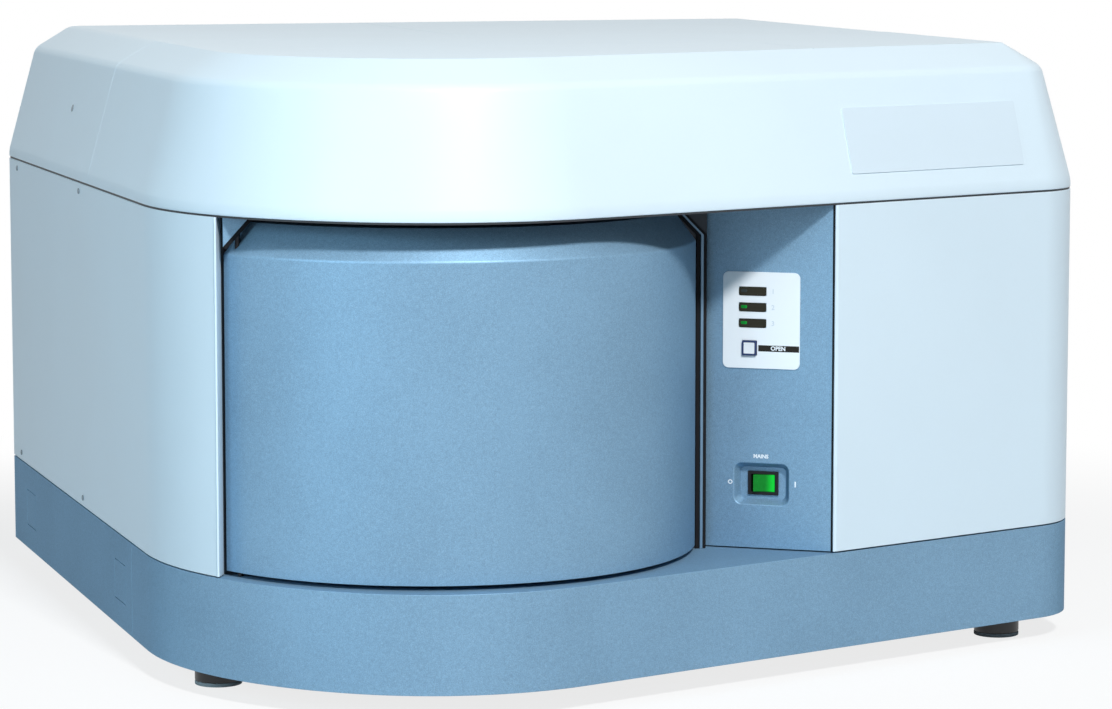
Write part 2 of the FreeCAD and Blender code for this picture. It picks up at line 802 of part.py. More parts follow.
def lid_box(gap, z0, z1):
    """Upright box on the outline of the access lid, enlarged by a gap."""
    x, y = left_x + lid_from_left, front_y + lid_from_front
    return box(x - gap, x + lid_length + gap, y - gap, y + lid_depth + gap, z0, z1)


def hood_pieces():
    """Front hood, two rear hoods and the lift-off lid over the microscope."""
    shell = hood_shell()
    reach = cabinet_width
    ledge = lid_box(-lid_ledge, hood_top_z - far, hood_top_z + far)
    recess = lid_box(plate_gap, hood_top_z - lid_thickness, hood_top_z + far)
    front = shell.common(far_box(-reach, reach, -reach, hood_seam_y))
    front = without(front, [ledge, recess])
    rear_left = shell.common(far_box(-reach, hood_seam_x - cover_gap, hood_seam_y + cover_gap, reach))
    rear_right = shell.common(far_box(hood_seam_x, reach, hood_seam_y + cover_gap, reach))
    lid = lid_box(0, hood_top_z - lid_thickness, hood_top_z)
    return front, rear_left, rear_right, lid


def hood_name_plate():
    """Blank plate on the leaning front of the hood."""
    lean = math.degrees(math.atan2(hood_lean_inset, hood_lean_height))
    start = V(right_panel_edge_x, outline_y(right_panel_edge_x), hood_lean_z)
    along = direction(front_taper)
    outward = V(math.sin(math.radians(front_taper)), -math.cos(math.radians(front_taper)), 0)
    normal = outward * math.cos(math.radians(lean)) + UP * math.sin(math.radians(lean))
    upward = UP * math.cos(math.radians(lean)) - outward * math.sin(math.radians(lean))
    plate = rounded_plate(plate_start + plate_length / 2, plate_low + plate_rise / 2,
                          plate_length, plate_rise, plate_corner, -plate_thickness, 0)
    turn = FreeCAD.Rotation(along, normal * -1, upward, "ZXY")
    plate.Placement = FreeCAD.Placement(start, turn)
    return plate


def upper_frame():
    """Flat frame that closes the sample chamber above and carries the hood."""
    sheet = plan_solid(panel_sheet / 2, panel_top_z, hood_z, rear_y - panel_sheet / 2)
    z0, z1 = panel_top_z - past, hood_z + past
    x1 = front_post.x - frame_border
    tools = [
        box(chamber_left + frame_border, x1, chamber_rear_y + frame_border, rear_y - frame_border, z0, z1),
        box(frame_right + frame_border, x1, front_post.y + frame_border, chamber_rear_y, z0, z1),
        rod(soffit_hole_radius, z1 - z0, V(axis_x, axis_y, z0)),
    ]
    return without(sheet, tools)


# Door, its frame and its lock


def door_outline(shrink, z):
    """Round front and flat back of the door at one height."""
    radius = door_radius - shrink
    centre = V(door_centre_x, door_centre_y, z)
    half = math.sqrt(radius ** 2 - door_chord_offset ** 2)
    left = V(centre.x - half, door_chord_y, z)
    right = V(centre.x + half, door_chord_y, z)
    front = centre + V(0, -radius, 0)
    return Part.Wire([Part.Arc(left, front, right).toShape(), Part.LineSegment(right, left).toShape()])


def door_solid(shrink, z0, z1, z2):
    """Round door body with its sloping top."""
    body = Part.Face(door_outline(shrink, z0)).extrude(V(0, 0, z1 - z0))
    slope = Part.makeLoft([door_outline(shrink, z1), door_outline(shrink + door_slope_inset, z2)],
                          True, True)
    return together([body, slope])


def door_room():
    """Space inside the door's skin."""
    return door_solid(door_sheet, door_bottom_z + door_sheet, door_crease_z - door_sheet / 3,
                      door_top_z - door_sheet)


def door_shell():
    """Round outer skin of the door, open at its back, with holes for the pivot pins."""
    outer = door_solid(0, door_bottom_z, door_crease_z, door_top_z)
    return without(outer, [door_room()] + pin_holes())


def door_liner():
    """Flat sheet that closes the back of the door."""
    half = door_half_width - door_liner_inset
    top_radius = door_radius - door_slope_inset
    top_half = math.sqrt(top_radius ** 2 - door_chord_offset ** 2) - door_liner_inset
    low, high = door_bottom_z + door_liner_inset, door_top_z - door_liner_inset
    corners = [(-half, low), (half, low), (half, door_crease_z),
               (top_half, high), (-top_half, high), (-half, door_crease_z)]
    points = [V(door_centre_x + x, door_chord_y, z) for x, z in corners]
    return Part.Face(Part.makePolygon(points + points[:1])).extrude(V(0, door_liner_sheet, 0))


def door_gasket():
    """Rubber ring on the back of the door."""
    top = door_crease_z - gasket_edge_distance
    bottom = door_bottom_z + gasket_edge_distance
    outer = box(gasket_left, gasket_right, liner_rear_y, gasket_rear_y, bottom, top)
    inner = box(gasket_left + gasket_width, gasket_right - gasket_width,
                liner_rear_y - past, gasket_rear_y + past, bottom + gasket_width, top - gasket_width)
    return outer.cut(inner)


door_left_end = V(door_left_x, door_chord_y, 0)
door_end_normal = (door_left_end - V(door_centre_x, door_centre_y, 0)).normalize()
door_end_tangent = V(-door_end_normal.y, door_end_normal.x, 0)
pivot = door_left_end + door_end_tangent * door_pivot_along - door_end_normal * door_pivot_behind


def pivot_levels():
    """Bottom heights of the lower and of the upper pivot lug."""
    return door_bottom_z + door_sheet, door_crease_z - door_sheet - pivot_lug_height


def door_pivot_lugs():
    """Two lugs inside the door that turn on the pivot pins."""
    lugs = []
    room = door_room()
    for z in pivot_levels():
        lug = rod(pivot_lug_radius, pivot_lug_height, at(pivot, z))
        plate = box(pivot.x - pivot_lug_radius, pivot.x + pivot_lug_length, pivot.y, door_chord_y,
                    z, z + pivot_lug_height)
        bore = rod(pivot_pin_radius + pivot_clearance, pivot_lug_height + 2 * past, at(pivot, z - past))
        lugs.append(together([lug, plate]).common(room).cut(bore))
    return lugs


def pivot_pins():
    """Lower pin up from the deck and upper pin down from the upper frame."""
    low, high = pivot_levels()
    lower = rod(pivot_pin_radius, low + pivot_lug_height - past - deck_z, at(pivot, deck_z))
    upper = rod(pivot_pin_radius, panel_top_z - high - past, at(pivot, high + past))
    return group([lower, upper])


def pin_holes():
    """Clearance for the pivot pins through the door's skin."""
    low, high = pivot_levels()
    radius = pivot_pin_radius + pivot_clearance
    return [rod(radius, low - door_bottom_z + 2 * past, at(pivot, door_bottom_z - past)),
            rod(radius, door_top_z + past - high, at(pivot, high))]


def trim_path(x):
    """Upright line that turns off at 45 degrees towards the door near the top."""
    rise = panel_top_z - trim_corner_z
    return [(x, deck_z), (x, trim_corner_z), (x - rise, panel_top_z)]


def trim_band(x0, x1, y0, y1):
    """Band between two such lines."""
    inner, outer = trim_path(x0), trim_path(x1)
    points = [V(x, y0, z) for x, z in inner + outer[::-1]]
    return Part.Face(Part.makePolygon(points + points[:1])).extrude(V(0, y1 - y0, 0))


def door_frame():
    """Flat frame behind the door, with the opening into the sample chamber."""
    sheet = box(frame_left, frame_right, frame_front_y, frame_rear_y, deck_z, panel_top_z)
    opening = box(opening_left, opening_right, frame_front_y - past, frame_rear_y + past,
                  opening_bottom, opening_top)
    return sheet.cut(opening)


def door_trim():
    """Bright strip between the door and the control panel."""
    return trim_band(trim_x, trim_x + trim_width, frame_front_y - trim_depth, frame_front_y)


def trim_seals():
    """Black rubber on each side of the bright strip."""
    inner = trim_band(trim_x - seal_strip_width, trim_x, frame_front_y - trim_depth / 2, frame_front_y)
    outer = trim_band(trim_x + trim_width, trim_x + trim_width + seal_strip_width,
                      frame_front_y - trim_depth / 2, frame_front_y)
    return group([inner, outer])


def bolt_axis(x):
    """Point of the lock bolt's axis at a given X."""
    return V(x, frame_rear_y + lock_body[1] / 2, lock_z)


def bolt_hole(extra):
    """Round hole of the lock bolt along X, with extra radius."""
    return rod(bolt_radius + extra, lock_body[0] + 2 * far, bolt_axis(opening_right - far), RIGHT)


def door_lock():
    """Solenoid lock behind the frame, right of the opening."""
    length, depth, height = lock_body
    left = opening_right + lock_gap
    body = box(left, left + length, frame_rear_y, frame_rear_y + depth,
               lock_z - height / 2, lock_z + height / 2)
    return body.cut(bolt_hole(running_clearance))


def lock_bolt():
    """Bolt that slides out of the lock into the door's strike."""
    return rod(bolt_radius, bolt_length, bolt_axis(opening_right + lock_gap + past), RIGHT)


def door_strike():
    """Hooked plate on the back of the door, which the bolt holds."""
    right = opening_right - strike_gap
    z0, z1 = lock_z - strike_height / 2, lock_z + strike_height / 2
    reach = bolt_axis(0).y + strike_reach / 2
    plate = box(right - strike_thickness, right, liner_rear_y, reach, z0, z1)
    foot_y = liner_rear_y + strike_thickness
    foot = box(right - strike_foot_length, right, liner_rear_y, foot_y, z0, z1)
    around_bolt = bolt_radius + strike_clearance
    notch = box(right - strike_thickness - past, right + past, foot_y, bolt_axis(0).y + around_bolt,
                z0 - past, lock_z + around_bolt)
    return together([plate, foot]).cut(notch)


# Sample chamber


def beam_z():
    """Height of the laser beam."""
    return bench_z + beam_height


def chamber_walls():
    """Bent sheet that lines the left, rear and right of the sample chamber."""
    front = frame_rear_y
    sheet = folded_sheet([(chamber_right, front), (chamber_right, chamber_rear_y),
                          (chamber_left, chamber_rear_y), (chamber_left, front)],
                         chamber_sheet, deck_z, panel_top_z)
    y0, y1 = chamber_rear_y - far, chamber_rear_y + far
    half_tongue = tongue_half_width + tongue_clearance
    tongue = box(axis_x - half_tongue, axis_x + half_tongue, y0, y1,
                 deck_z - past, bench_z + tongue_clearance)
    port = rod(beam_port_radius, y1 - y0, V(axis_x, y0, lamp_z), BACK)
    beam = rod(beam_port_radius, y1 - y0, V(beam_port_x, y0, beam_z()), BACK)
    return without(sheet, [tongue, port, beam])


# Control panel, modelled in its own frame


def control_panel_width():
    """Width that leaves the wanted gap to the right panel's flange."""
    edge = V(right_panel_edge_x, outline_y(right_panel_edge_x), 0)
    across = direction(front_taper)
    reach = (edge - V(control_x, control_y, 0)).dot(across) - control_gap
    return reach / math.cos(math.radians(front_taper + control_turn))


def recess_shape(grow):
    """Dished pocket in the control panel, enlarged by grow."""
    mouth = rounded_rectangle(recess_u, recess_z, recess_width + 2 * grow, recess_height + 2 * grow,
                              recess_corner + grow, 0)
    floor = rounded_rectangle(recess_u, recess_z, recess_width - 2 * recess_draft + 2 * grow,
                              recess_height - 2 * recess_draft + 2 * grow,
                              recess_corner - recess_draft / 2 + grow, recess_depth + grow)
    return Part.makeLoft([mouth, floor], True, True)


def upright_box(u, z, width, height, depth0, depth1):
    """Box centred on a point of the control panel, between two depths."""
    return box(u - width / 2, u + width / 2, depth0, depth1, z - height / 2, z + height / 2)


def control_panel():
    """Bent sheet with the dished pocket of the power switch."""
    width = control_panel_width()
    sheet = control_sheet
    low, high = deck_z + panel_foot_gap, panel_top_z
    turn = math.radians(90 + front_taper + control_turn)
    flange_end = (width + control_flange * math.cos(turn), control_flange * math.sin(turn))
    face = folded_sheet([(0, 0), (width, 0), flange_end], sheet, low, high)
    pocket = recess_shape(sheet)
    window = upright_box(window_u, (window_z[0] + window_z[-1]) / 2, window_width - 2 * window_ledge,
                         window_z[0] - window_z[-1] + window_height - 2 * window_ledge, -far, far)
    button_hole = button_side + 2 * button_clearance
    button = upright_box(button_u, button_z, button_hole, button_hole, -far, far)
    guide = upright_box(button_u, button_z, button_hole + 2 * guide_wall, button_hole + 2 * guide_wall,
                        sheet, sheet + button_length)
    switch = upright_box(recess_u, recess_z, switch_width - 2 * switch_rim, switch_height - 2 * switch_rim,
                         -far, far)
    solid = together([face, guide, pocket.common(box(0, width, 0, far, low, high))])
    return in_control_panel(without(solid, [recess_shape(0), window, button, switch]))


def indicator_plate():
    """White rounded plate round the lamps and the door button."""
    plate = rounded_plate(indicator_u, indicator_z, indicator_width, indicator_height, indicator_corner,
                          -indicator_thickness, 0)
    tools = [upright_box(window_u, z, window_width, window_height, -far, far) for z in window_z]
    button_hole = button_side + 2 * button_clearance
    tools.append(upright_box(button_u, button_z, button_hole, button_hole, -far, far))
    return in_control_panel(without(plate, tools))


def indicator_windows():
    """Dark windows of the three lamps."""
    windows = []
    for z in window_z:
        face = upright_box(window_u, z, window_width, window_height, -indicator_thickness - window_proud, 0)
        windows.append(in_control_panel(face))
    return group(windows)


def door_button():
    """Square button that unlocks the door."""
    face = upright_box(button_u, button_z, button_side, button_side, -indicator_thickness - button_proud,
                       control_sheet + button_length - guide_reach)
    return in_control_panel(face)


def switch_case():
    """Bezel and body of the power switch."""
    floor = recess_depth
    bezel = upright_box(recess_u, recess_z, switch_width, switch_height, floor - switch_rim, floor)
    inset = 2 * (switch_rim + switch_play)
    body = upright_box(recess_u, recess_z, switch_width - inset, switch_height - inset,
                       floor, floor + switch_body_depth)
    play = 2 * rocker_clearance
    cavity = upright_box(recess_u, recess_z, rocker_width + play, rocker_height + play,
                         -far, floor + switch_body_depth - switch_back_wall)
    bore_start = V(recess_u, floor + rocker_pivot_depth, recess_z - switch_height / 2)
    bore = rod(rocker_pin_radius + running_clearance, switch_height, bore_start)
    return in_control_panel(without(together([bezel, body]), [cavity, bore]))


def power_rocker():
    """Rocker of the power switch, resting on its ON side."""
    half = rocker_width / 2 - rocker_end_gap
    tip = recess_depth - rocker_proud
    pivot_depth = recess_depth + rocker_pivot_depth
    skirt = pivot_depth + rocker_skirt
    profile = [(-half, tip), (0, tip + rocker_dish), (half, tip),
               (half - rocker_skirt_inset, skirt), (-half + rocker_skirt_inset, skirt)]
    low = recess_z - rocker_height / 2
    body = prism([(recess_u + x, y) for x, y in profile], low, low + rocker_height)
    pin_start = V(recess_u, pivot_depth, low - rocker_pin_reach)
    pin = rod(rocker_pin_radius, rocker_height + 2 * rocker_pin_reach, pin_start)
    rocker = together([body, pin])
    rocker.rotate(V(recess_u, pivot_depth, 0), UP, rocker_tilt)
    return in_control_panel(rocker)


# Optical bench and microscope


def bench_isolators():
    """Rubber mounts between the deck and the bench."""
    inset = isolator_inset
    tongue_x, tongue_y = axis_x - tongue_half_width, axis_y - tongue_before_axis
    wing_x, wing_y = right_centre.x - wing_inset, right_centre.y
    places = [(bench_left + inset, bench_rear - inset), (bench_right - inset, bench_rear - inset),
              (tongue_x + inset, tongue_y + inset), (wing_x - inset, wing_y + inset)]
    return group([rod(isolator_radius, isolator_height, V(x, y, deck_z)) for x, y in places])


def optical_bench():
    """Thick aluminium plate under the optics, with a tongue under the microscope."""
    low = bench_z - bench_thickness
    main = box(bench_left, bench_right, bench_front, bench_rear, low, bench_z)
    tongue = box(axis_x - tongue_half_width, axis_x + tongue_half_width, axis_y - tongue_before_axis,
                 bench_front + past, low, bench_z)
    wing_x = right_centre.x - wing_inset
    wing = box(wing_x - wing_width, wing_x, right_centre.y, bench_front + past, low, bench_z)
    return together([main, tongue, wing])


def focus_shaft_height():
    """Height of the focus knobs' axis."""
    return bench_z + knob_height_on_stand


def microscope_stand():
    """Cast stand: base, column and arm."""
    base_top = bench_z + stand_base_height
    half_base, half_column = stand_width / 2, column_width / 2
    arm_top = arm_bottom_z + arm_height
    base = box(axis_x - half_base, axis_x + half_base, stand_front, stand_rear, bench_z, base_top)
    upright = [edge for edge in base.Edges if abs(edge.Length - stand_base_height) < slide_gap]
    base = base.makeFillet(stand_corner, upright)
    x0, x1 = axis_x - half_column, axis_x + half_column
    column = box(x0, x1, column_front, stand_rear, base_top - past, arm_top)
    arm = box(x0, x1, arm_front, column_front + past, arm_bottom_z, arm_top)
    stand = together([base, column, arm])
    shaft_start = V(axis_x, axis_y + nosepiece_offset, arm_bottom_z - past)
    knob_start = V(axis_x - half_base - far, knob_y, focus_shaft_height())
    tools = [
        rod(nosepiece_shaft_radius + running_clearance, nosepiece_shaft_length + past, shaft_start),
        rod(arm_bore_radius, arm_height + 2 * past, V(axis_x, axis_y, arm_bottom_z - past)),
        rod(knob_shaft_radius + running_clearance, stand_width + 2 * far, knob_start, RIGHT),
    ]
    return without(stand, tools)


def objective_places():
    """Plan points of the objectives round the turret's axis; the first is in the beam."""
    centre = V(axis_x, axis_y + nosepiece_offset, 0)
    count = len(objective_lengths)
    return [centre + direction(270 + 360 / count * index) * nosepiece_offset for index in range(count)]


def nosepiece():
    """Turret that carries the objectives."""
    centre = V(axis_x, axis_y + nosepiece_offset, 0)
    top = arm_bottom_z - slide_gap
    low = top - nosepiece_height
    disc = rod(nosepiece_radius, nosepiece_height, at(centre, low))
    shaft = rod(nosepiece_shaft_radius, nosepiece_shaft_length - past, at(centre, top - past))
    holes = [rod(objective_hole_radius, nosepiece_height + 2 * past, at(place, low - past))
             for place in objective_places()]
    return without(together([disc, shaft]), holes)


def objectives():
    """Objectives of different lengths under the turret; the longest is in the beam."""
    top = arm_bottom_z - slide_gap - nosepiece_height
    lenses = []
    for place, length in zip(objective_places(), reversed(objective_lengths)):
        barrel_length = length * barrel_share
        barrel = rod(objective_radius, barrel_length, at(place, top - barrel_length))
        cone = Part.makeCone(objective_radius * tip_share, objective_radius, length - barrel_length,
                             at(place, top - length))
        bore = rod(objective_bore_radius, length + 2 * past, at(place, top - length - past))
        lenses.append(together([barrel, cone]).cut(bore))
    return group(lenses)


def focus_knobs():
    """Two focus knobs on one shaft through the stand."""
    z = focus_shaft_height()
    half = stand_width / 2
    shaft_start = V(axis_x - half - knob_length, knob_y, z)
    pieces = [rod(knob_shaft_radius, stand_width + 2 * knob_length, shaft_start, RIGHT)]
    for start in (axis_x - half - knob_length - slide_gap, axis_x + half + slide_gap):
        pieces.append(rod(knob_radius, knob_length, V(start, knob_y, z), RIGHT))
    return together(pieces)


def focus_carriage():
    """Bracket that slides on the column and carries the stage."""
    rear = column_front - slide_gap
    plate = box(axis_x - carriage_width / 2, axis_x + carriage_width / 2, rear - bracket_thickness, rear,
                bracket_top_z - carriage_height, bracket_top_z)
    shelf = box(axis_x - bracket_width / 2, axis_x + bracket_width / 2, axis_y - stage_y_size[1] / 2, rear,
                bracket_top_z - bracket_thickness, bracket_top_z)
    return together([plate, shelf])


def stage_y_plate():
    """Lower stage plate, which moves front to back."""
    z = bracket_top_z + slide_gap
    return block(axis_x, axis_y, z, stage_y_size[0], stage_y_size[1], stage_thickness)


def stage_x_plate():
    """Upper stage plate, which moves left and right."""
    z = bracket_top_z + stage_thickness + 2 * slide_gap
    return block(axis_x, axis_y, z, stage_x_size[0], stage_x_size[1], stage_thickness)


def sample_level():
    """Height of the top of the upper stage plate."""
    return bracket_top_z + 2 * stage_thickness + 2 * slide_gap


def sample_holder():
    """Frame on the stage with a pocket for a glass slide."""
    plate = block(axis_x, axis_y, sample_level(), holder_size[0], holder_size[1], holder_thickness)
    pocket = block(axis_x, axis_y, sample_level() + holder_thickness - slide_thickness,
                   slide_size[0] + 2 * slide_play, slide_size[1] + 2 * slide_play, far)
    window = block(axis_x, axis_y, sample_level() - past,
                   slide_size[0] - 2 * holder_ledge[0], slide_size[1] - 2 * holder_ledge[1], far)
    return without(plate, [pocket, window])


def sample_slide():
    """Glass slide in the holder."""
    z = sample_level() + holder_thickness - slide_thickness
    return block(axis_x, axis_y, z, slide_size[0], slide_size[1], slide_thickness)


def video_camera():
    """Viewing camera on a tube above the arm."""
    start = arm_bottom_z + arm_height
    tube = ring(camera_tube_radius, camera_tube_radius - camera_tube_wall, camera_tube_length,
                V(axis_x, axis_y, start))
    body = block(axis_x, axis_y, start + camera_tube_length, *camera_body)
    return together([tube, body])


def lamp_house():
    """Lamp for the microscope, behind the chamber's rear wall."""
    tube = rod(lamp_tube_radius, lamp_tube_length, V(axis_x, stand_rear, lamp_z), BACK)
    width, depth, height = lamp_size
    front = stand_rear + lamp_tube_length
    body = box(axis_x - width / 2, axis_x + width / 2, front, front + depth,
               lamp_z - height / 2, lamp_z + height / 2)
    return together([tube, body])


# Lasers, beam optics and spectrograph


def laser_heads():
    """A box-shaped laser and a tube laser, side by side at the left rear."""
    head = box(laser_left, laser_right, laser_front, laser_rear, bench_z, bench_z + laser_box_height)
    middle = (laser_left + laser_right) / 2
    nose_start = V(middle, laser_front - laser_nose_length, beam_z())
    nose = rod(laser_nose_radius, laser_nose_length, nose_start, BACK)
    tube = rod(laser_tube_radius, laser_tube_length, V(laser_tube_x, laser_front, beam_z()), BACK)
    return [together([head, nose]), tube]


def laser_blocks():
    """Two bored blocks that carry the tube laser."""
    blocks = []
    reach = laser_tube_radius + laser_block_margin
    for share in laser_block_shares:
        y = laser_front + laser_tube_length * share
        body = block(laser_tube_x, y, bench_z, 2 * reach, laser_block_length, beam_height + reach)
        blocks.append(body.cut(rod(laser_tube_radius, 2 * far, V(laser_tube_x, y - far, beam_z()), BACK)))
    return blocks


def mirror_mount_places():
    """Plan points of the mirror mounts, in the order in which the beam meets them."""
    return [((laser_left + laser_right) / 2, mirror_row_y), (laser_tube_x, mirror_row_y),
            (beam_port_x, mirror_row_y), (beam_port_x, slit_y + last_mirrors_behind_slit),
            (spectrograph_left - last_mirror_from_case, slit_y)]


def beam_mirrors():
    """Mirror mounts on posts, turned by 45 degrees to the beam."""
    mounts = []
    width, thickness, height = mirror_plate
    for index, (x, y) in enumerate(mirror_mount_places()):
        post = rod(mirror_post_radius, beam_height - height / 2 + past, V(x, y, bench_z))
        foot = rod(mirror_foot_radius, mirror_foot_height, V(x, y, bench_z))
        plate = block(x, y, beam_z() - height / 2, width, thickness, height)
        plate.rotate(V(x, y, 0), UP, mirror_turn if index % 2 == 0 else -mirror_turn)
        mounts.append(together([foot, post, plate]))
    return mounts


def wheel_axis_z():
    """Height of the filter wheel's axis: its filters pass through the beam."""
    return beam_z() - wheel_hole_pitch


def wheel_motor():
    """Motor of the filter wheel, on a block."""
    half = wheel_motor_side / 2
    z = wheel_axis_z()
    y0 = wheel_y + wheel_thickness / 2 + wheel_motor_gap
    y1 = y0 + wheel_motor_length
    inset = wheel_foot_inset
    body = box(wheel_x - half, wheel_x + half, y0, y1, z - half, z + half)
    foot = box(wheel_x - half + inset, wheel_x + half - inset, y0 + inset, y1 - inset,
               bench_z, z - half + past)
    bore = rod(wheel_shaft_radius + running_clearance, y1 - y0 + 2 * past, V(wheel_x, y0 - past, z), BACK)
    return together([body, foot]).cut(bore)


def filter_wheel():
    """Wheel with a ring of filters, on its motor shaft."""
    z = wheel_axis_z()
    front = V(wheel_x, wheel_y - wheel_thickness / 2, z)
    disc = rod(wheel_radius, wheel_thickness, front, BACK)
    shaft = rod(wheel_shaft_radius, wheel_shaft_length, front, BACK)
    holes = []
    for index in range(wheel_holes):
        turn = direction(90 + 360 / wheel_holes * index) * wheel_hole_pitch
        holes.append(rod(wheel_hole_radius, 2 * far, V(wheel_x + turn.x, wheel_y - far, z + turn.y), BACK))
    return without(together([disc, shaft]), holes)


def spectrograph_case():
    """Open-topped cast case with ports for the slit and the detector."""
    wall = spectrograph_wall
    outer = box(spectrograph_left, spectrograph_right, spectrograph_front, spectrograph_rear,
                bench_z, bench_z + spectrograph_height)
    inner = box(spectrograph_left + wall, spectrograph_right - wall, spectrograph_front + wall,
                spectrograph_rear - wall, bench_z + wall, bench_z + spectrograph_height + past)
    slit_port = rod(slit_hole_radius, 3 * wall, V(spectrograph_left - wall, slit_y, beam_z()), RIGHT)
    detector_start = V(detector_x, spectrograph_front - wall, beam_z())
    detector_port = rod(detector_port_radius, 3 * wall, detector_start, BACK)
    bore = rod(turret_shaft_radius + running_clearance, wall + turret_base_height,
               V(turret_x, turret_y, bench_z + wall / 2))
    boss = rod(turret_base_radius, turret_base_height, V(turret_x, turret_y, bench_z + wall))
    return without(together([outer.cut(inner), boss]), [slit_port, detector_port, bore])


def spectrograph_lid():
    """Flat lid of the spectrograph."""
    z = bench_z + spectrograph_height
    return box(spectrograph_left, spectrograph_right, spectrograph_front, spectrograph_rear,
               z, z + spectrograph_lid_thickness)


def spectrograph_mirrors():
    """Collimating and focusing mirrors on feet at the far end of the case."""
    mirrors = []
    y = spectrograph_rear - spectrograph_wall - mirror_thickness - mirror_rear_gap
    floor = bench_z + spectrograph_wall
    for x in [spectrograph_left + distance for distance in mirror_from_left]:
        disc = rod(mirror_radius, mirror_thickness, V(x, y, beam_z()), BACK)
        foot = block(x, y + mirror_thickness / 2, floor, mirror_foot_width, mirror_thickness,
                     beam_z() - floor - mirror_radius + mirror_foot_overlap)
        mirrors.append(together([disc, foot]))
    return group(mirrors)


def grating_turret():
    """Turntable of the gratings, on its shaft."""
    floor = bench_z + spectrograph_wall + turret_base_height + slide_gap
    disc = rod(turret_radius, turret_height, V(turret_x, turret_y, floor))
    shaft = rod(turret_shaft_radius, turret_base_height + 2 * past,
                V(turret_x, turret_y, floor - turret_base_height - past))
    return together([disc, shaft])


def gratings():
    """Three ruled gratings that stand on the turret."""
    floor = bench_z + spectrograph_wall + turret_base_height + slide_gap + turret_height
    plates = []
    width, thickness, height = grating_size
    for index in range(3):
        plate = box(turret_x - width / 2, turret_x + width / 2, turret_y + grating_distance,
                    turret_y + grating_distance + thickness, floor, floor + height)
        plate.rotate(V(turret_x, turret_y, 0), UP, 120 * index)
        plates.append(plate)
    return plates


def slit_unit():
    """Entrance slit and pinhole housing on the left wall of the spectrograph."""
    length, width, height = slit_size
    body = box(spectrograph_left - length, spectrograph_left, slit_y - width / 2, slit_y + width / 2,
               beam_z() - height / 2, beam_z() + height / 2)
    snout_start = V(spectrograph_left - length - slit_snout_length, slit_y, beam_z())
    snout = rod(slit_snout_radius, slit_snout_length, snout_start, RIGHT)
    hole = rod(slit_bore_radius, length + 2 * far, snout_start - RIGHT * far, RIGHT)
    return together([body, snout]).cut(hole)


def detector_camera():
    """Cooled detector on the exit port, with cooling fins."""
    width, length, height = detector_size
    y1 = spectrograph_front - detector_neck_length
    y0 = y1 - length
    top = beam_z() + height / 2
    tube = rod(detector_tube_radius, detector_neck_length, V(detector_x, y1, beam_z()), BACK)
    body = box(detector_x - width / 2, detector_x + width / 2, y0, y1, top - height, top)
    slots = []
    for index in range(fin_slots):
        y = y0 + fin_pitch * (index + 1)
        slots.append(box(detector_x - width, detector_x + width, y, y + fin_slot_width,
                         top - fin_slot_depth, top + past))
    return without(together([tube, body]), slots)


# Electronics


def power_supply():
    """Closed power supply on the floor of the base."""
    width, depth, height = supply_size
    x0, y1 = left_x + supply_from_left, rear_y - supply_from_rear
    x1, y0 = x0 + width, y1 - depth
    floor = base_bottom_z + deck_sheet
    top = floor + height
    case = box(x0, x1, y0, y1, floor, top)
    slots = []
    for index in range(supply_slots):
        x = x0 + supply_slot_pitch * (index + 1)
        slots.append(box(x, x + supply_slot_width, y0 + supply_slot_pitch, y1 - supply_slot_pitch,
                         top - supply_slot_depth, top + past))
    return without(case, slots)


def control_board():
    """Circuit board on standoffs, with its larger components."""
    x1, y1 = right_x - board_from_right, rear_y - board_from_rear
    x0, y0 = x1 - board_size[0], y1 - board_size[1]
    floor = base_bottom_z + deck_sheet
    z = floor + board_standoff_height
    top = z + board_thickness
    inset = board_hole_inset
    pieces = [box(x0, x1, y0, y1, z, top)]
    for x in (x0 + inset, x1 - inset):
        for y in (y0 + inset, y1 - inset):
            pieces.append(rod(board_standoff_radius, board_standoff_height, V(x, y, floor)))
    width, depth, height = chip_size
    for column in range(chip_columns):
        for row in range(chip_rows):
            x, y = x0 + chip_inset + chip_pitch * column, y0 + chip_inset + chip_pitch * row
            pieces.append(box(x, x + width, y, y + depth, top, top + height))
    length, depth, height = connector_size
    x, y = x0 + connector_inset, y1 - connector_inset
    pieces.append(box(x, x + length, y - depth, y, top, top + height))
    pieces.append(rod(capacitor_radius, capacitor_height, V(x1 - capacitor_inset, y1 - capacitor_inset, top)))
    return together(pieces)


def fan_frame():
    """Square frame of the cooling fan, with its motor held by arms."""
    half, reach = fan_side / 2, fan_ring_radius + past
    half_arm = fan_arm_width / 2
    z = fan_z()
    y1 = rear_face_y - panel_sheet
    y0 = y1 - fan_depth
    frame = box(fan_x - half, fan_x + half, y0, y1, z - half, z + half)
    frame = frame.cut(rod(fan_ring_radius, fan_depth + 2 * past, V(fan_x, y0 - past, z), BACK))
    spider = [box(fan_x - reach, fan_x + reach, y1 - fan_arm_width, y1, z - half_arm, z + half_arm),
              box(fan_x - half_arm, fan_x + half_arm, y1 - fan_arm_width, y1, z - reach, z + reach),
              rod(fan_hub_radius, fan_arm_width, V(fan_x, y1 - fan_arm_width, z), BACK)]
    bore = rod(fan_shaft_radius + running_clearance, fan_depth + 2 * past, V(fan_x, y0 - past, z), BACK)
    return together([frame] + spider).cut(bore)


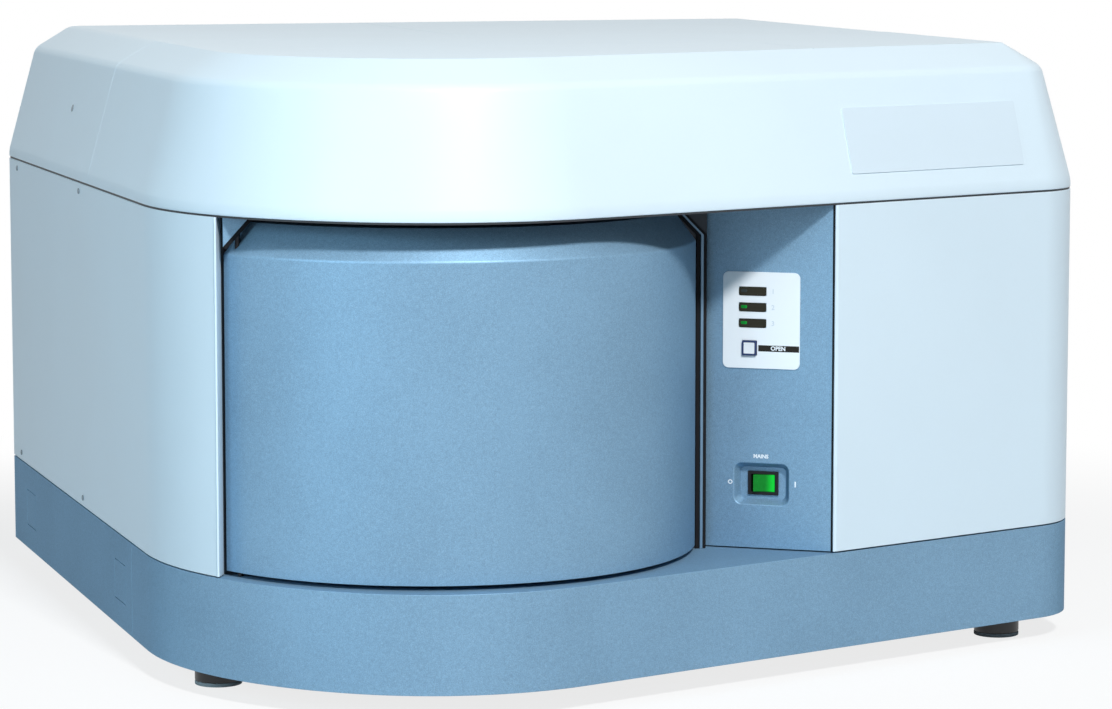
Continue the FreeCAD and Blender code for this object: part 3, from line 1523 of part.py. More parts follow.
def fan_rotor():
    """Hub, shaft and blades of the cooling fan."""
    z = fan_z()
    y0 = rear_face_y - panel_sheet - fan_depth + fan_rotor_gap
    depth = fan_rotor_depth
    middle = y0 + depth / 2
    pieces = [rod(fan_hub_radius, depth, V(fan_x, y0, z), BACK),
              rod(fan_shaft_radius, depth + fan_arm_width, V(fan_x, y0, z), BACK)]
    for index in range(fan_blades):
        blade = box(fan_x + fan_hub_radius - past, fan_x + fan_rotor_radius,
                    middle - blade_thickness / 2, middle + blade_thickness / 2,
                    z - blade_chord / 2, z + blade_chord / 2)
        blade.rotate(V(fan_x, middle, z), RIGHT, blade_pitch)
        blade.rotate(V(fan_x, y0, z), BACK, 360 / fan_blades * index)
        pieces.append(blade)
    return together(pieces)


def mains_inlet():
    """Appliance inlet with three pins in its socket, through the rear panel."""
    z = inlet_z()
    front = rear_face_y + inlet_rim
    half_width, half_height = inlet_half_sizes(inlet_play)
    flange = box(inlet_x - inlet_width / 2, inlet_x + inlet_width / 2, rear_face_y, front,
                 z - inlet_height / 2, z + inlet_height / 2)
    body = box(inlet_x - half_width, inlet_x + half_width, rear_face_y - inlet_depth, rear_face_y,
               z - half_height, z + half_height)
    width, height, depth = inlet_socket
    socket = box(inlet_x - width / 2, inlet_x + width / 2, front - depth, front + past,
                 z - height / 2, z + height / 2)
    pieces = [together([flange, body]).cut(socket)]
    for x, lift in inlet_pin_places:
        pieces.append(box(inlet_x + x - inlet_pin_width / 2, inlet_x + x + inlet_pin_width / 2,
                          front - depth, rear_face_y - inlet_pin_recess,
                          z + lift - inlet_pin_height / 2, z + lift + inlet_pin_height / 2))
    return together(pieces)


def all_nodes():
    """Every node of the part by name."""
    front_skirt, other_skirts = skirt_pieces()
    hood_front, hood_left, hood_right, lid = hood_pieces()
    return {
        "foot_pads": foot_pads(),
        "foot_blocks": foot_blocks(),
        "base_floor": base_floor(),
        "base_front_skirt": front_skirt,
        "base_side_and_rear_skirts": other_skirts,
        "lifting_bar_covers": lifting_bar_covers(),
        "base_deck": base_deck(),
        "frame_posts": frame_posts(),
        "left_side_panel": left_side_panel(),
        "right_side_panel": right_side_panel(),
        "rear_panel": rear_panel(),
        "panel_screws": panel_screws(),
        "front_hood": hood_front,
        "rear_left_hood": hood_left,
        "rear_right_hood": hood_right,
        "hood_access_lid": lid,
        "hood_name_plate": hood_name_plate(),
        "upper_frame": upper_frame(),
        "door_shell": door_shell(),
        "door_liner": door_liner(),
        "door_gasket": door_gasket(),
        "door_fittings": group(door_pivot_lugs() + [door_strike()]),
        "pivot_pins": pivot_pins(),
        "door_frame": door_frame(),
        "door_trim": door_trim(),
        "trim_seals": trim_seals(),
        "door_lock": door_lock(),
        "lock_bolt": lock_bolt(),
        "chamber_walls": chamber_walls(),
        "control_panel": control_panel(),
        "indicator_plate": indicator_plate(),
        "indicator_windows": indicator_windows(),
        "door_button": door_button(),
        "switch_case": switch_case(),
        "power_rocker": power_rocker(),
        "bench_isolators": bench_isolators(),
        "optical_bench": optical_bench(),
        "microscope_stand": microscope_stand(),
        "nosepiece": nosepiece(),
        "objectives": objectives(),
        "focus_knobs": focus_knobs(),
        "focus_carriage": focus_carriage(),
        "stage_y_plate": stage_y_plate(),
        "stage_x_plate": stage_x_plate(),
        "sample_holder": group([sample_holder(), sample_slide()]),
        "video_camera": video_camera(),
        "lamp_house": lamp_house(),
        "lasers": group(laser_heads() + laser_blocks()),
        "beam_optics": group(beam_mirrors() + [wheel_motor()]),
        "filter_wheel": filter_wheel(),
        "spectrograph_case": spectrograph_case(),
        "spectrograph_lid": spectrograph_lid(),
        "spectrograph_mirrors": spectrograph_mirrors(),
        "grating_turret": group([grating_turret()] + gratings()),
        "slit_unit": slit_unit(),
        "detector_camera": detector_camera(),
        "base_electronics": group([power_supply(), control_board()]),
        "fan_frame": fan_frame(),
        "fan_rotor": fan_rotor(),
        "mains_inlet": mains_inlet(),
    }


os.makedirs("parts", exist_ok=True)
for name, shape in all_nodes().items():
    solids = shape.Solids
    print(name, len(solids), "solids", "valid" if shape.isValid() else "NOT VALID", round(shape.Volume))
    shape.exportStep("parts/" + name + ".step")
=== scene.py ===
"""Looks of a bench-top laser Raman microscope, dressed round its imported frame."""

import json
import logging
import math
from collections.abc import Callable, Iterable, Sequence
from dataclasses import dataclass, field
from enum import Enum

import bmesh
import bpy
from mathutils import Matrix, Vector
from mathutils.bvhtree import BVHTree

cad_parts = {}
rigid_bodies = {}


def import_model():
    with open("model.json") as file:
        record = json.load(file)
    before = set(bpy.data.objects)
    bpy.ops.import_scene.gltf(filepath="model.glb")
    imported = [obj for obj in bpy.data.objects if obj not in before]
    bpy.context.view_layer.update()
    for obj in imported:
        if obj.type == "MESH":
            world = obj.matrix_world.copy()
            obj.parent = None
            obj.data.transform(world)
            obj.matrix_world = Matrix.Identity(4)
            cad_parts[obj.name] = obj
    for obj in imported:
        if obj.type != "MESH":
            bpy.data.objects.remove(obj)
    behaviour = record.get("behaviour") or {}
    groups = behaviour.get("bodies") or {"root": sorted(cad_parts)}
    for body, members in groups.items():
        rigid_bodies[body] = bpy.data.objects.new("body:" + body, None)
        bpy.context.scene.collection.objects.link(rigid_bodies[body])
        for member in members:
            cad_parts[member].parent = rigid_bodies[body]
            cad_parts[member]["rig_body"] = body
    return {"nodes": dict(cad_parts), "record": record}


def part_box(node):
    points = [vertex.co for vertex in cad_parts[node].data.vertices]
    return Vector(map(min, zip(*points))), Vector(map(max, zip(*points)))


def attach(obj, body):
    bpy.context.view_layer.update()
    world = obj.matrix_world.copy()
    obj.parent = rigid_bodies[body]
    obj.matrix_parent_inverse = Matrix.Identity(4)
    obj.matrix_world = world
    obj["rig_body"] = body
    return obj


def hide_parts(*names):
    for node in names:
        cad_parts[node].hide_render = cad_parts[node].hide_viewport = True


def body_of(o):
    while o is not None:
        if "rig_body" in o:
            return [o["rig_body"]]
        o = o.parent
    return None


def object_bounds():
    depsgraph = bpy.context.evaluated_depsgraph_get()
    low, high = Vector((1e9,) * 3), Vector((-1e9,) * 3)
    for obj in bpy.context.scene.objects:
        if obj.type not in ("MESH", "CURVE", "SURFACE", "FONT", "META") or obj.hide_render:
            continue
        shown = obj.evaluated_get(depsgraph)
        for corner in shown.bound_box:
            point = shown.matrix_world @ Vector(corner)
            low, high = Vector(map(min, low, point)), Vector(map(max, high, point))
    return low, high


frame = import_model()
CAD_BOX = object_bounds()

log = logging.getLogger("raman_microscope")

MM = 0.001
SMOOTH_BELOW = math.radians(35.0)

Colour = tuple[float, float, float]
Number = float
Place = tuple[float, float, float]


# Shader expressions


class Signal:
    """One output socket of a shader node, with arithmetic that adds Math nodes."""

    def __init__(self, shader: "Shader", socket: bpy.types.NodeSocket) -> None:
        """Keep the socket and the shader that it belongs to."""
        self.shader = shader
        self.socket = socket

    def _math(self, operation: str, *operands: "Signal | Number") -> "Signal":
        """Add one Math node on these operands."""
        return self.shader.node("ShaderNodeMath", {"operation": operation}, dict(enumerate(operands)))

    def __add__(self, other: "Signal | Number") -> "Signal":
        """Sum."""
        return self._math("ADD", self, other)

    def __radd__(self, other: Number) -> "Signal":
        """Sum with a number in front."""
        return self._math("ADD", other, self)

    def __mul__(self, other: "Signal | Number") -> "Signal":
        """Product."""
        return self._math("MULTIPLY", self, other)

    def __truediv__(self, other: "Signal | Number") -> "Signal":
        """Quotient."""
        return self._math("DIVIDE", self, other)

    def wave(self) -> "Signal":
        """Sine of this angle."""
        return self._math("SINE", self)

    def fraction(self) -> "Signal":
        """Fractional part."""
        return self._math("FRACT", self)

    def eased(self, low: Number, high: Number) -> "Signal":
        """Smooth 0 to 1 between two values.

        Args:
            low: value that becomes 0.
            high: value that becomes 1.

        Returns:
            The eased signal, held at 0 and 1 outside the two values.
        """
        settings = {"interpolation_type": "SMOOTHSTEP"}
        return self.shader.node("ShaderNodeMapRange", settings, {0: self, 1: low, 2: high, 3: 0.0, 4: 1.0})


class Shader:
    """Node tree of one material, built from expressions."""

    def __init__(self, name: str) -> None:
        """Start an empty node tree.

        Args:
            name: the material's name.
        """
        self.material = bpy.data.materials.new(name)
        self.material.use_nodes = True
        self.tree = self.material.node_tree
        self.tree.nodes.clear()

    def node(self, kind: str, settings: dict | None = None, inputs: dict | None = None,
             output: int | str = 0) -> Signal:
        """Add any node.

        Args:
            kind: the node's type.
            settings: its properties, set before its sockets; "stops" fills a colour ramp.
            inputs: values or signals by socket name or number.
            output: the socket that the result reads.

        Returns:
            The output as a signal.
        """
        made = self.tree.nodes.new(kind)
        for key, value in (settings or {}).items():
            if key == "stops":
                self._fill_ramp(made.color_ramp, value)
            else:
                setattr(made, key, value)
        for key, value in (inputs or {}).items():
            if isinstance(value, Signal):
                self.tree.links.new(value.socket, made.inputs[key])
            else:
                made.inputs[key].default_value = value
        return Signal(self, made.outputs[output])

    @staticmethod
    def _fill_ramp(ramp: bpy.types.ColorRamp, stops: Sequence[tuple[float, Colour]]) -> None:
        """Set a colour ramp's stops.

        Args:
            ramp: the ramp.
            stops: place and colour of each stop.
        """
        while len(ramp.elements) < len(stops):
            ramp.elements.new(1.0)
        for element, (place, colour) in zip(ramp.elements, stops):
            element.position = place
            element.color = (*colour, 1.0)

    def place(self, offset: Place = (0, 0, 0), scale: Place = (1, 1, 1)) -> Signal:
        """Object coordinates, stretched and moved.

        Args:
            offset: shift in metres.
            scale: stretch along each axis.

        Returns:
            A vector signal.
        """
        here = self.node("ShaderNodeTexCoord", output="Object")
        inputs = {"Vector": here, "Location": offset, "Scale": scale}
        return self.node("ShaderNodeMapping", {"vector_type": "POINT"}, inputs)

    def axes(self, vector: Signal) -> tuple[Signal, Signal, Signal]:
        """The three parts of a vector.

        Args:
            vector: the vector signal.

        Returns:
            Its X, Y and Z.
        """
        made = self.node("ShaderNodeSeparateXYZ", inputs={0: vector})
        sockets = made.socket.node.outputs
        return Signal(self, sockets[0]), Signal(self, sockets[1]), Signal(self, sockets[2])

    def noise(self, vector: Signal, grain: float, detail: float = 2.0, roughness: float = 0.5) -> Signal:
        """Noise from 0 to 1.

        Args:
            vector: where it is read.
            grain: size of its blots in metres.
            detail: octaves.
            roughness: how much the fine octaves count.

        Returns:
            A value signal.
        """
        inputs = {"Vector": vector, "Scale": 1.0 / grain, "Detail": detail, "Roughness": roughness}
        return self.node("ShaderNodeTexNoise", {"noise_dimensions": "3D"}, inputs)

    def cells(self, vector: Signal, grain: float) -> Signal:
        """Random colour of each Voronoi cell, by a cell size in metres."""
        inputs = {"Vector": vector, "Scale": 1.0 / grain}
        return self.node("ShaderNodeTexVoronoi", inputs=inputs, output="Color")

    def mix(self, factor: Signal | Number, first: Signal | Colour, second: Signal | Colour) -> Signal:
        """Mix two colours.

        Args:
            factor: 0 gives the first, 1 the second.
            first: a colour or a signal.
            second: a colour or a signal.

        Returns:
            A colour signal.
        """
        colours = [value if isinstance(value, Signal) else (*value, 1.0) for value in (first, second)]
        inputs = {0: factor, 6: colours[0], 7: colours[1]}
        return self.node("ShaderNodeMix", {"data_type": "RGBA"}, inputs, output=2)

    def bump(self, height: Signal, depth: float) -> Signal:
        """Normals of a surface with this height, 0 to 1, over a depth in metres."""
        return self.node("ShaderNodeBump", inputs={"Height": height, "Distance": depth, "Strength": 1.0})

    def surface(self, inputs: dict) -> bpy.types.Material:
        """Finish with a Principled surface that has these values or signals by socket name."""
        return self.finish(self.node("ShaderNodeBsdfPrincipled", inputs=inputs))

    def finish(self, shader: Signal) -> bpy.types.Material:
        """Connect a surface shader to the output.

        Args:
            shader: the surface shader.

        Returns:
            The finished material.
        """
        output = self.tree.nodes.new("ShaderNodeOutputMaterial")
        self.tree.links.new(shader.socket, output.inputs["Surface"])
        return self.material


def shade(colour: Colour, factor: float) -> Colour:
    """A colour made darker or lighter by a factor."""
    return tuple(min(part * factor, 1.0) for part in colour)


# Finishes


class Grain(Enum):
    """Direction in which a metal was drawn, brushed or turned."""

    NONE = (1.0, 1.0, 1.0)
    ALONG_X = (0.02, 1.0, 1.0)
    ALONG_Y = (1.0, 0.02, 1.0)
    ALONG_Z = (1.0, 1.0, 0.02)
    ROUND_Z = (0.1, 0.1, 1.0)


@dataclass(frozen=True)
class PowderCoat:
    """Baked powder coat with a faint orange peel."""

    name: str
    colour: Colour
    roughness: float = 0.42
    peel: float = 0.0035
    depth: float = 0.00003
    fleck: float = 0.02

    def build(self) -> bpy.types.Material:
        """Make the material."""
        shader = Shader(self.name)
        here = shader.place()
        cloud = shader.noise(here, 0.35, 3.0)
        fine = shader.noise(here, 0.0016, 2.0, 0.6)
        low, high = shade(self.colour, 1 - 2 * self.fleck), shade(self.colour, 1 + self.fleck)
        colour = shader.mix(cloud.eased(0.3, 0.7) * 0.6 + fine * 0.4, low, high)
        peel = shader.noise(here, self.peel, 1.0)
        grain = peel * 0.7 + fine * 0.3
        return shader.surface({
            "Base Color": colour,
            "Roughness": self.roughness - 0.04 + cloud * 0.08,
            "Specular IOR Level": 0.4,
            "Normal": shader.bump(grain, self.depth),
        })


@dataclass(frozen=True)
class MetallicPaint:
    """Blue-grey paint with fine metal flakes."""

    name: str
    colour: Colour
    glint: Colour = (0.6, 0.78, 0.9)
    edge_tint: Colour = (0.05, 0.10, 0.15)
    metallic: float = 0.45
    roughness: float = 0.5
    flake: float = 0.0009
    contrast: float = 0.12

    def build(self) -> bpy.types.Material:
        """Make the material."""
        shader = Shader(self.name)
        here = shader.place()
        flakes = shader.noise(here, self.flake, 2.0, 0.7)
        clumps = shader.noise(here, self.flake * 4, 2.0)
        cloud = shader.noise(here, 0.12, 2.0)
        tone = flakes * 0.7 + clumps * 0.15 + cloud * 0.15
        spread = 1.6 * self.contrast
        dark, light = shade(self.colour, 1 - spread), shade(self.colour, 1 + spread)
        sparkle = shader.cells(here, self.flake)
        lit = shader.axes(sparkle)[0].eased(0.90, 1.0)
        colour = shader.mix(lit * 0.12, shader.mix(tone.eased(0.3, 0.7), dark, light), self.glint)
        return shader.surface({
            "Base Color": colour,
            "Metallic": self.metallic,
            "Roughness": self.roughness - 0.05 + flakes * 0.1,
            "Specular IOR Level": 0.05,
            "Specular Tint": (*self.edge_tint, 1.0),
            "Normal": shader.bump(flakes * 0.5 + clumps * 0.5, 0.00005),
        })


@dataclass(frozen=True)
class Moulding:
    """Moulded plastic with a fine spark-eroded grain."""

    name: str
    colour: Colour
    roughness: float = 0.5
    grain: float = 0.0009
    depth: float = 0.00004
    gloss: float = 0.5

    def build(self) -> bpy.types.Material:
        """Make the material."""
        shader = Shader(self.name)
        here = shader.place()
        grain = shader.noise(here, self.grain, 2.0, 0.6)
        cloud = shader.noise(here, 0.03, 2.0)
        colour = shader.mix(cloud * 0.6 + grain * 0.4, shade(self.colour, 0.85), shade(self.colour, 1.2))
        return shader.surface({
            "Base Color": colour,
            "Roughness": self.roughness - 0.06 + cloud * 0.12,
            "Specular IOR Level": self.gloss,
            "Normal": shader.bump(grain, self.depth),
        })


@dataclass(frozen=True)
class Rubber:
    """Moulded or extruded rubber with a dusty bloom."""

    name: str
    colour: Colour
    bloom: Colour = (0.1, 0.1, 0.1)

    def build(self) -> bpy.types.Material:
        """Make the material."""
        shader = Shader(self.name)
        here = shader.place()
        cloud = shader.noise(here, 0.02, 3.0, 0.6)
        grain = shader.noise(here, 0.0006, 1.0)
        colour = shader.mix(cloud.eased(0.55, 0.85) * 0.35, self.colour, self.bloom)
        return shader.surface({
            "Base Color": colour,
            "Roughness": 0.72 + cloud * 0.16,
            "Specular IOR Level": 0.12,
            "Normal": shader.bump(grain, 0.00005),
        })


@dataclass(frozen=True)
class Metal:
    """Bare or anodised metal with the marks of how it was worked."""

    name: str
    colour: Colour
    roughness: float = 0.3
    grain: Grain = Grain.NONE
    mark: float = 0.0004
    depth: float = 0.000008
    metallic: float = 1.0

    def build(self) -> bpy.types.Material:
        """Make the material."""
        shader = Shader(self.name)
        here = shader.place(scale=self.grain.value)
        marks = shader.noise(here, self.mark, 2.0, 0.6)
        cloud = shader.noise(shader.place(), 0.03, 2.0)
        colour = shader.mix(marks * 0.6 + cloud * 0.4, shade(self.colour, 0.86), shade(self.colour, 1.1))
        return shader.surface({
            "Base Color": colour,
            "Metallic": self.metallic,
            "Roughness": self.roughness - 0.05 + marks * 0.06 + cloud * 0.06,
            "Normal": shader.bump(marks, self.depth),
        })


@dataclass(frozen=True)
class LitPlastic:
    """Coloured plastic with a lamp behind it, brighter towards one end."""

    name: str
    colour: Colour
    glow: Colour
    strength: float
    dark_end: Place
    bright_end: Place

    def build(self) -> bpy.types.Material:
        """Make the material."""
        shader = Shader(self.name)
        start, end = Vector(self.dark_end), Vector(self.bright_end)
        along = (end - start).normalized()
        here = shader.place(offset=tuple(-start))
        dot = shader.node("ShaderNodeVectorMath", {"operation": "DOT_PRODUCT"}, {0: here, 1: tuple(along)},
                          output="Value")
        share = dot / (end - start).length
        ribs = (dot * (math.tau / 0.0011)).wave() * 0.5 + 0.5
        cloud = shader.noise(here, 0.004, 2.0)
        level = share.eased(0.55, 0.95) * 0.75 + 0.12 + cloud * 0.12 + ribs * 0.03
        glow = shader.mix(level, (0.0, 0.0, 0.0), self.glow)
        return shader.surface({
            "Base Color": shader.mix(cloud, shade(self.colour, 0.7), self.colour),
            "Roughness": 0.22 + cloud * 0.08,
            "Specular IOR Level": 0.15,
            "Emission Color": glow,
            "Emission Strength": self.strength,
            "Coat Weight": 0.04,
            "Normal": shader.bump(ribs, 0.00002),
        })


@dataclass(frozen=True)
class Film:
    """Printed front film: a smooth sheet with a fine silk-screen grain."""

    name: str
    colour: Colour
    roughness: float = 0.3

    def build(self) -> bpy.types.Material:
        """Make the material."""
        shader = Shader(self.name)
        here = shader.place()
        weave = shader.noise(here, 0.0005, 1.0)
        cloud = shader.noise(here, 0.05, 2.0)
        colour = shader.mix(weave * 0.5 + cloud * 0.5, shade(self.colour, 0.97), shade(self.colour, 1.02))
        return shader.surface({
            "Base Color": colour,
            "Roughness": self.roughness - 0.03 + cloud * 0.06,
            "Coat Weight": 0.15,
            "Normal": shader.bump(weave, 0.00001),
        })


@dataclass(frozen=True)
class ClearGlass:
    """Clear or tinted glass with faint fingermarks."""

    name: str
    tint: Colour
    roughness: float = 0.03

    def build(self) -> bpy.types.Material:
        """Make the material."""
        shader = Shader(self.name)
        smear = shader.noise(shader.place(), 0.006, 3.0, 0.6)
        return shader.surface({
            "Base Color": shader.mix(smear, shade(self.tint, 0.97), self.tint),
            "Roughness": self.roughness + smear.eased(0.5, 0.8) * 0.08,
            "Transmission Weight": 0.9,
            "IOR": 1.5,
        })


@dataclass(frozen=True)
class Ruled:
    """Gold-coated ruled surface with bands of colour across its lines: the rainbow that the lines diffract,
    painted into the colour.
    """

    name: str
    colour: Colour = (0.80, 0.62, 0.34)

    def build(self) -> bpy.types.Material:
        """Make the material."""
        shader = Shader(self.name)
        here = shader.place()
        across = shader.axes(here)[2]
        lines = (across * (math.tau / 0.0006)).wave() * 0.5 + 0.5
        # rainbow bands: diffracted light painted into the base colour
        band = (across * 42.0 + shader.noise(here, 0.05) * 0.4).fraction()
        stops = [(0.0, (0.45, 0.12, 0.40)), (0.25, (0.12, 0.22, 0.62)), (0.5, (0.10, 0.52, 0.30)),
                 (0.75, (0.75, 0.60, 0.12)), (1.0, (0.65, 0.16, 0.12))]
        painted_rainbow = shader.node("ShaderNodeValToRGB", {"stops": stops}, {0: band})
        return shader.surface({
            "Base Color": shader.mix(0.35, self.colour, painted_rainbow),
            "Metallic": 1.0,
            "Roughness": 0.16 + lines * 0.05,
            "Normal": shader.bump(lines, 0.00001),
        })


Finish = PowderCoat | MetallicPaint | Moulding | Rubber | Metal | Film | ClearGlass | Ruled


# Modelling by hand


Chooser = Callable[[Vector, Vector], bool]


class Facing(Enum):
    """Direction in which a part's own up points."""

    UP = (0.0, 0.0, 1.0)
    DOWN = (0.0, 0.0, -1.0)
    RIGHT = (1.0, 0.0, 0.0)
    LEFT = (-1.0, 0.0, 0.0)
    FRONT = (0.0, -1.0, 0.0)
    BACK = (0.0, 1.0, 0.0)

    def at(self, x: float, y: float, z: float) -> Matrix:
        """Frame at a place in millimetres, with its Z in this direction."""
        turn = Vector(self.value).to_track_quat("Z", "Y").to_matrix().to_4x4()
        return Matrix.Translation(Vector((x, y, z)) * MM) @ turn


class Bench:
    """Blender's own modelling operators, with selection in code by place or normal."""

    @staticmethod
    def clear() -> None:
        """Leave edit mode with nothing selected."""
        if bpy.context.mode != "OBJECT":
            bpy.ops.object.mode_set(mode="OBJECT")
        bpy.ops.object.select_all(action="DESELECT")

    @staticmethod
    def take(obj: bpy.types.Object) -> None:
        """Make one object the only selected one.

        Args:
            obj: the object.
        """
        Bench.clear()
        obj.select_set(True)
        bpy.context.view_layer.objects.active = obj

    @staticmethod
    def block(name: str, size: Place, centre: Place) -> bpy.types.Object:
        """Add a cube at its size and place, open for editing.

        Args:
            name: the object's name.
            size: its three sides in metres.
            centre: its middle in metres.

        Returns:
            The object, in edit mode with everything selected.
        """
        Bench.clear()
        bpy.ops.mesh.primitive_cube_add(size=1.0, location=centre, scale=size)
        return Bench._open(name)

    @staticmethod
    def drum(name: str, radius: float, length: float, centre: Place, sides: int) -> bpy.types.Object:
        """Add an upright cylinder at its size and place, open for editing.

        Args:
            name: the object's name.
            radius: in metres.
            length: in metres.
            centre: its middle in metres.
            sides: faces round it.

        Returns:
            The object, in edit mode with everything selected.
        """
        Bench.clear()
        bpy.ops.mesh.primitive_cylinder_add(vertices=sides, radius=radius, depth=length, location=centre)
        return Bench._open(name)

    @staticmethod
    def _open(name: str) -> bpy.types.Object:
        """Name the new object, put its place into its mesh and open it.

        Args:
            name: the object's name.

        Returns:
            The object, in edit mode with everything selected.
        """
        obj = bpy.context.object
        obj.name = obj.data.name = name
        bpy.ops.object.transform_apply(location=True, rotation=True, scale=True)
        bpy.ops.object.mode_set(mode="EDIT")
        bpy.ops.mesh.select_all(action="SELECT")
        return obj

    @staticmethod
    def from_node(node: str, name: str) -> bpy.types.Object:
        """Copy a node's mesh, weld its loose triangles and clear the diagonals from its flat faces.

        Args:
            node: the node.
            name: the copy's name.

        Returns:
            The copy, in edit mode.
        """
        made = bpy.data.objects.new(name, frame["nodes"][node].data.copy())
        made.data.name = name
        bpy.context.scene.collection.objects.link(made)
        Bench.take(made)
        bpy.ops.mesh.customdata_custom_splitnormals_clear()
        bpy.ops.object.mode_set(mode="EDIT")
        bpy.ops.mesh.select_all(action="SELECT")
        bpy.ops.mesh.remove_doubles(threshold=0.001 * MM)
        bpy.ops.mesh.dissolve_limited(angle_limit=math.radians(0.3))
        return made

    @staticmethod
    def pick_faces(obj: bpy.types.Object, wanted: Chooser) -> None:
        """Select faces by centre and normal.

        Args:
            obj: the object in edit mode.
            wanted: says whether a face with this centre and normal is picked.
        """
        bpy.ops.mesh.select_mode(type="FACE")
        bpy.ops.mesh.select_all(action="DESELECT")
        mesh = bmesh.from_edit_mesh(obj.data)
        for face in mesh.faces:
            if wanted(face.calc_center_median(), face.normal):
                face.select_set(True)
        bmesh.update_edit_mesh(obj.data)

    @staticmethod
    def pick_edges(obj: bpy.types.Object, wanted: Callable[[Vector, Vector, float], bool]) -> int:
        """Select edges by middle, direction and the angle between their faces.

        Args:
            obj: the object in edit mode.
            wanted: says whether an edge with this middle, direction and angle is picked.

        Returns:
            How many edges were picked.
        """
        bpy.ops.mesh.select_mode(type="EDGE")
        bpy.ops.mesh.select_all(action="DESELECT")
        mesh = bmesh.from_edit_mesh(obj.data)
        count = 0
        for edge in mesh.edges:
            first, last = edge.verts[0].co, edge.verts[1].co
            angle = edge.calc_face_angle(0.0)
            if wanted((first + last) / 2, (last - first).normalized(), angle):
                edge.select_set(True)
                count += 1
        bmesh.update_edit_mesh(obj.data)
        return count

    @staticmethod
    def round_off(offset: float, segments: int) -> None:
        """Bevel the selected edges by an offset in metres."""
        bpy.ops.mesh.bevel(offset=offset, segments=segments, affect="EDGES", clamp_overlap=True)

    @staticmethod
    def close(obj: bpy.types.Object) -> bpy.types.Object:
        """Leave edit mode, point the faces outwards and smooth the shallow edges.

        Args:
            obj: the object in edit mode.

        Returns:
            The same object.
        """
        bpy.ops.mesh.select_all(action="SELECT")
        bpy.ops.mesh.normals_make_consistent(inside=False)
        Bench.take(obj)
        bpy.ops.object.shade_smooth_by_angle(angle=SMOOTH_BELOW)
        Bench.modifier(obj, "WEIGHTED_NORMAL", keep_sharp=True)
        return obj

    @staticmethod
    def modifier(obj: bpy.types.Object, kind: str, **settings: object) -> None:
        """Add a modifier and apply it.

        Args:
            obj: the object.
            kind: the modifier's type.
            settings: its properties.
        """
        Bench.take(obj)
        made = obj.modifiers.new(kind.title(), kind)
        for key, value in settings.items():
            setattr(made, key, value)
        bpy.ops.object.modifier_apply(modifier=made.name)
        Bench.clear()

    @staticmethod
    def copy_at(obj: bpy.types.Object, name: str, matrix: Matrix) -> bpy.types.Object:
        """Copy an object with its own mesh, moved by a matrix.

        Args:
            obj: the finished original.
            name: the copy's name.
            matrix: where the copy goes.

        Returns:
            The copy.
        """
        made = bpy.data.objects.new(name, obj.data.copy())
        made.data.transform(matrix)
        bpy.context.scene.collection.objects.link(made)
        return made

    @staticmethod
    def join(name: str, parts: Sequence[bpy.types.Object]) -> bpy.types.Object:
        """Join several objects into one.

        Args:
            name: the joined object's name.
            parts: the objects.

        Returns:
            The joined object.
        """
        Bench.clear()
        for part in parts:
            part.select_set(True)
        bpy.context.view_layer.objects.active = parts[0]
        if len(parts) > 1:
            bpy.ops.object.join()
        parts[0].name = parts[0].data.name = name
        Bench.clear()
        return parts[0]

    @staticmethod
    def turned(name: str, profile: Sequence[tuple[float, float]], sides: int = 48) -> bpy.types.Object:
        """Turned part on its own upright axis, drawn ring by ring from a disc.

        Args:
            name: the object's name.
            profile: radius and height of each ring in millimetres, from one end to the other.
            sides: faces round it.

        Returns:
            The object, in edit mode.
        """
        radius, height = profile[0]
        Bench.clear()
        bpy.ops.mesh.primitive_circle_add(vertices=sides, radius=radius * MM, fill_type="NGON",
                                          location=(0, 0, height * MM))
        obj = Bench._open(name)
        for next_radius, next_height in profile[1:]:
            rise = (0, 0, (next_height - height) * MM)
            bpy.ops.mesh.extrude_region_move(TRANSFORM_OT_translate={"value": rise})
            share = next_radius / radius
            bpy.ops.transform.resize(value=(share, share, 1), center_override=(0, 0, 0))
            radius, height = next_radius, next_height
        return obj

    @staticmethod
    def hoop(name: str, outer: float, inner: float, low: float, high: float,
             sides: int = 48) -> bpy.types.Object:
        """Open ring on its own upright axis, in millimetres.

        Args:
            name: the object's name.
            outer: outer radius.
            inner: inner radius.
            low: height of its lower face.
            high: height of its upper face.
            sides: faces round it.

        Returns:
            The object, in edit mode.
        """
        middle = (low + high) / 2
        obj = Bench.drum(name, outer * MM, (high - low) * MM, (0, 0, middle * MM), sides)
        Bench.pick_faces(obj, lambda centre, normal: abs(normal.z) > 0.9)
        bpy.ops.mesh.inset(thickness=(outer - inner) * MM, depth=0.0)
        bpy.ops.mesh.delete(type="ONLY_FACE")
        reach = (inner + 0.2 * (outer - inner)) * MM
        Bench.pick_edges(obj, lambda place, along, angle: place.xy.length < reach)
        bpy.ops.mesh.bridge_edge_loops()
        return obj

    @staticmethod
    def knurl(obj: bpy.types.Object, low: float, high: float, sides: int, height: float) -> None:
        """Raise every other face round a turned part as a rib of its grip.

        Args:
            obj: the object in edit mode, on its own upright axis.
            low: lowest level of the faces' middles, in millimetres.
            high: highest level.
            sides: faces round it.
            height: height of the ribs.
        """
        step = math.tau / sides

        def rib(centre: Vector, normal: Vector) -> bool:
            """Whether this face is raised.

            Args:
                centre: its centre.
                normal: its normal.

            Returns:
                True for every other face round the part.
            """
            count = round(math.atan2(normal.y, normal.x) / step - 0.5)
            outwards = centre.x * normal.x + centre.y * normal.y > 0
            return low < centre.z / MM < high and abs(normal.z) < 0.1 and outwards and count % 2 == 0

        Bench.pick_faces(obj, rib)
        bpy.ops.mesh.inset(thickness=0.08 * MM, depth=height * MM, use_individual=True)

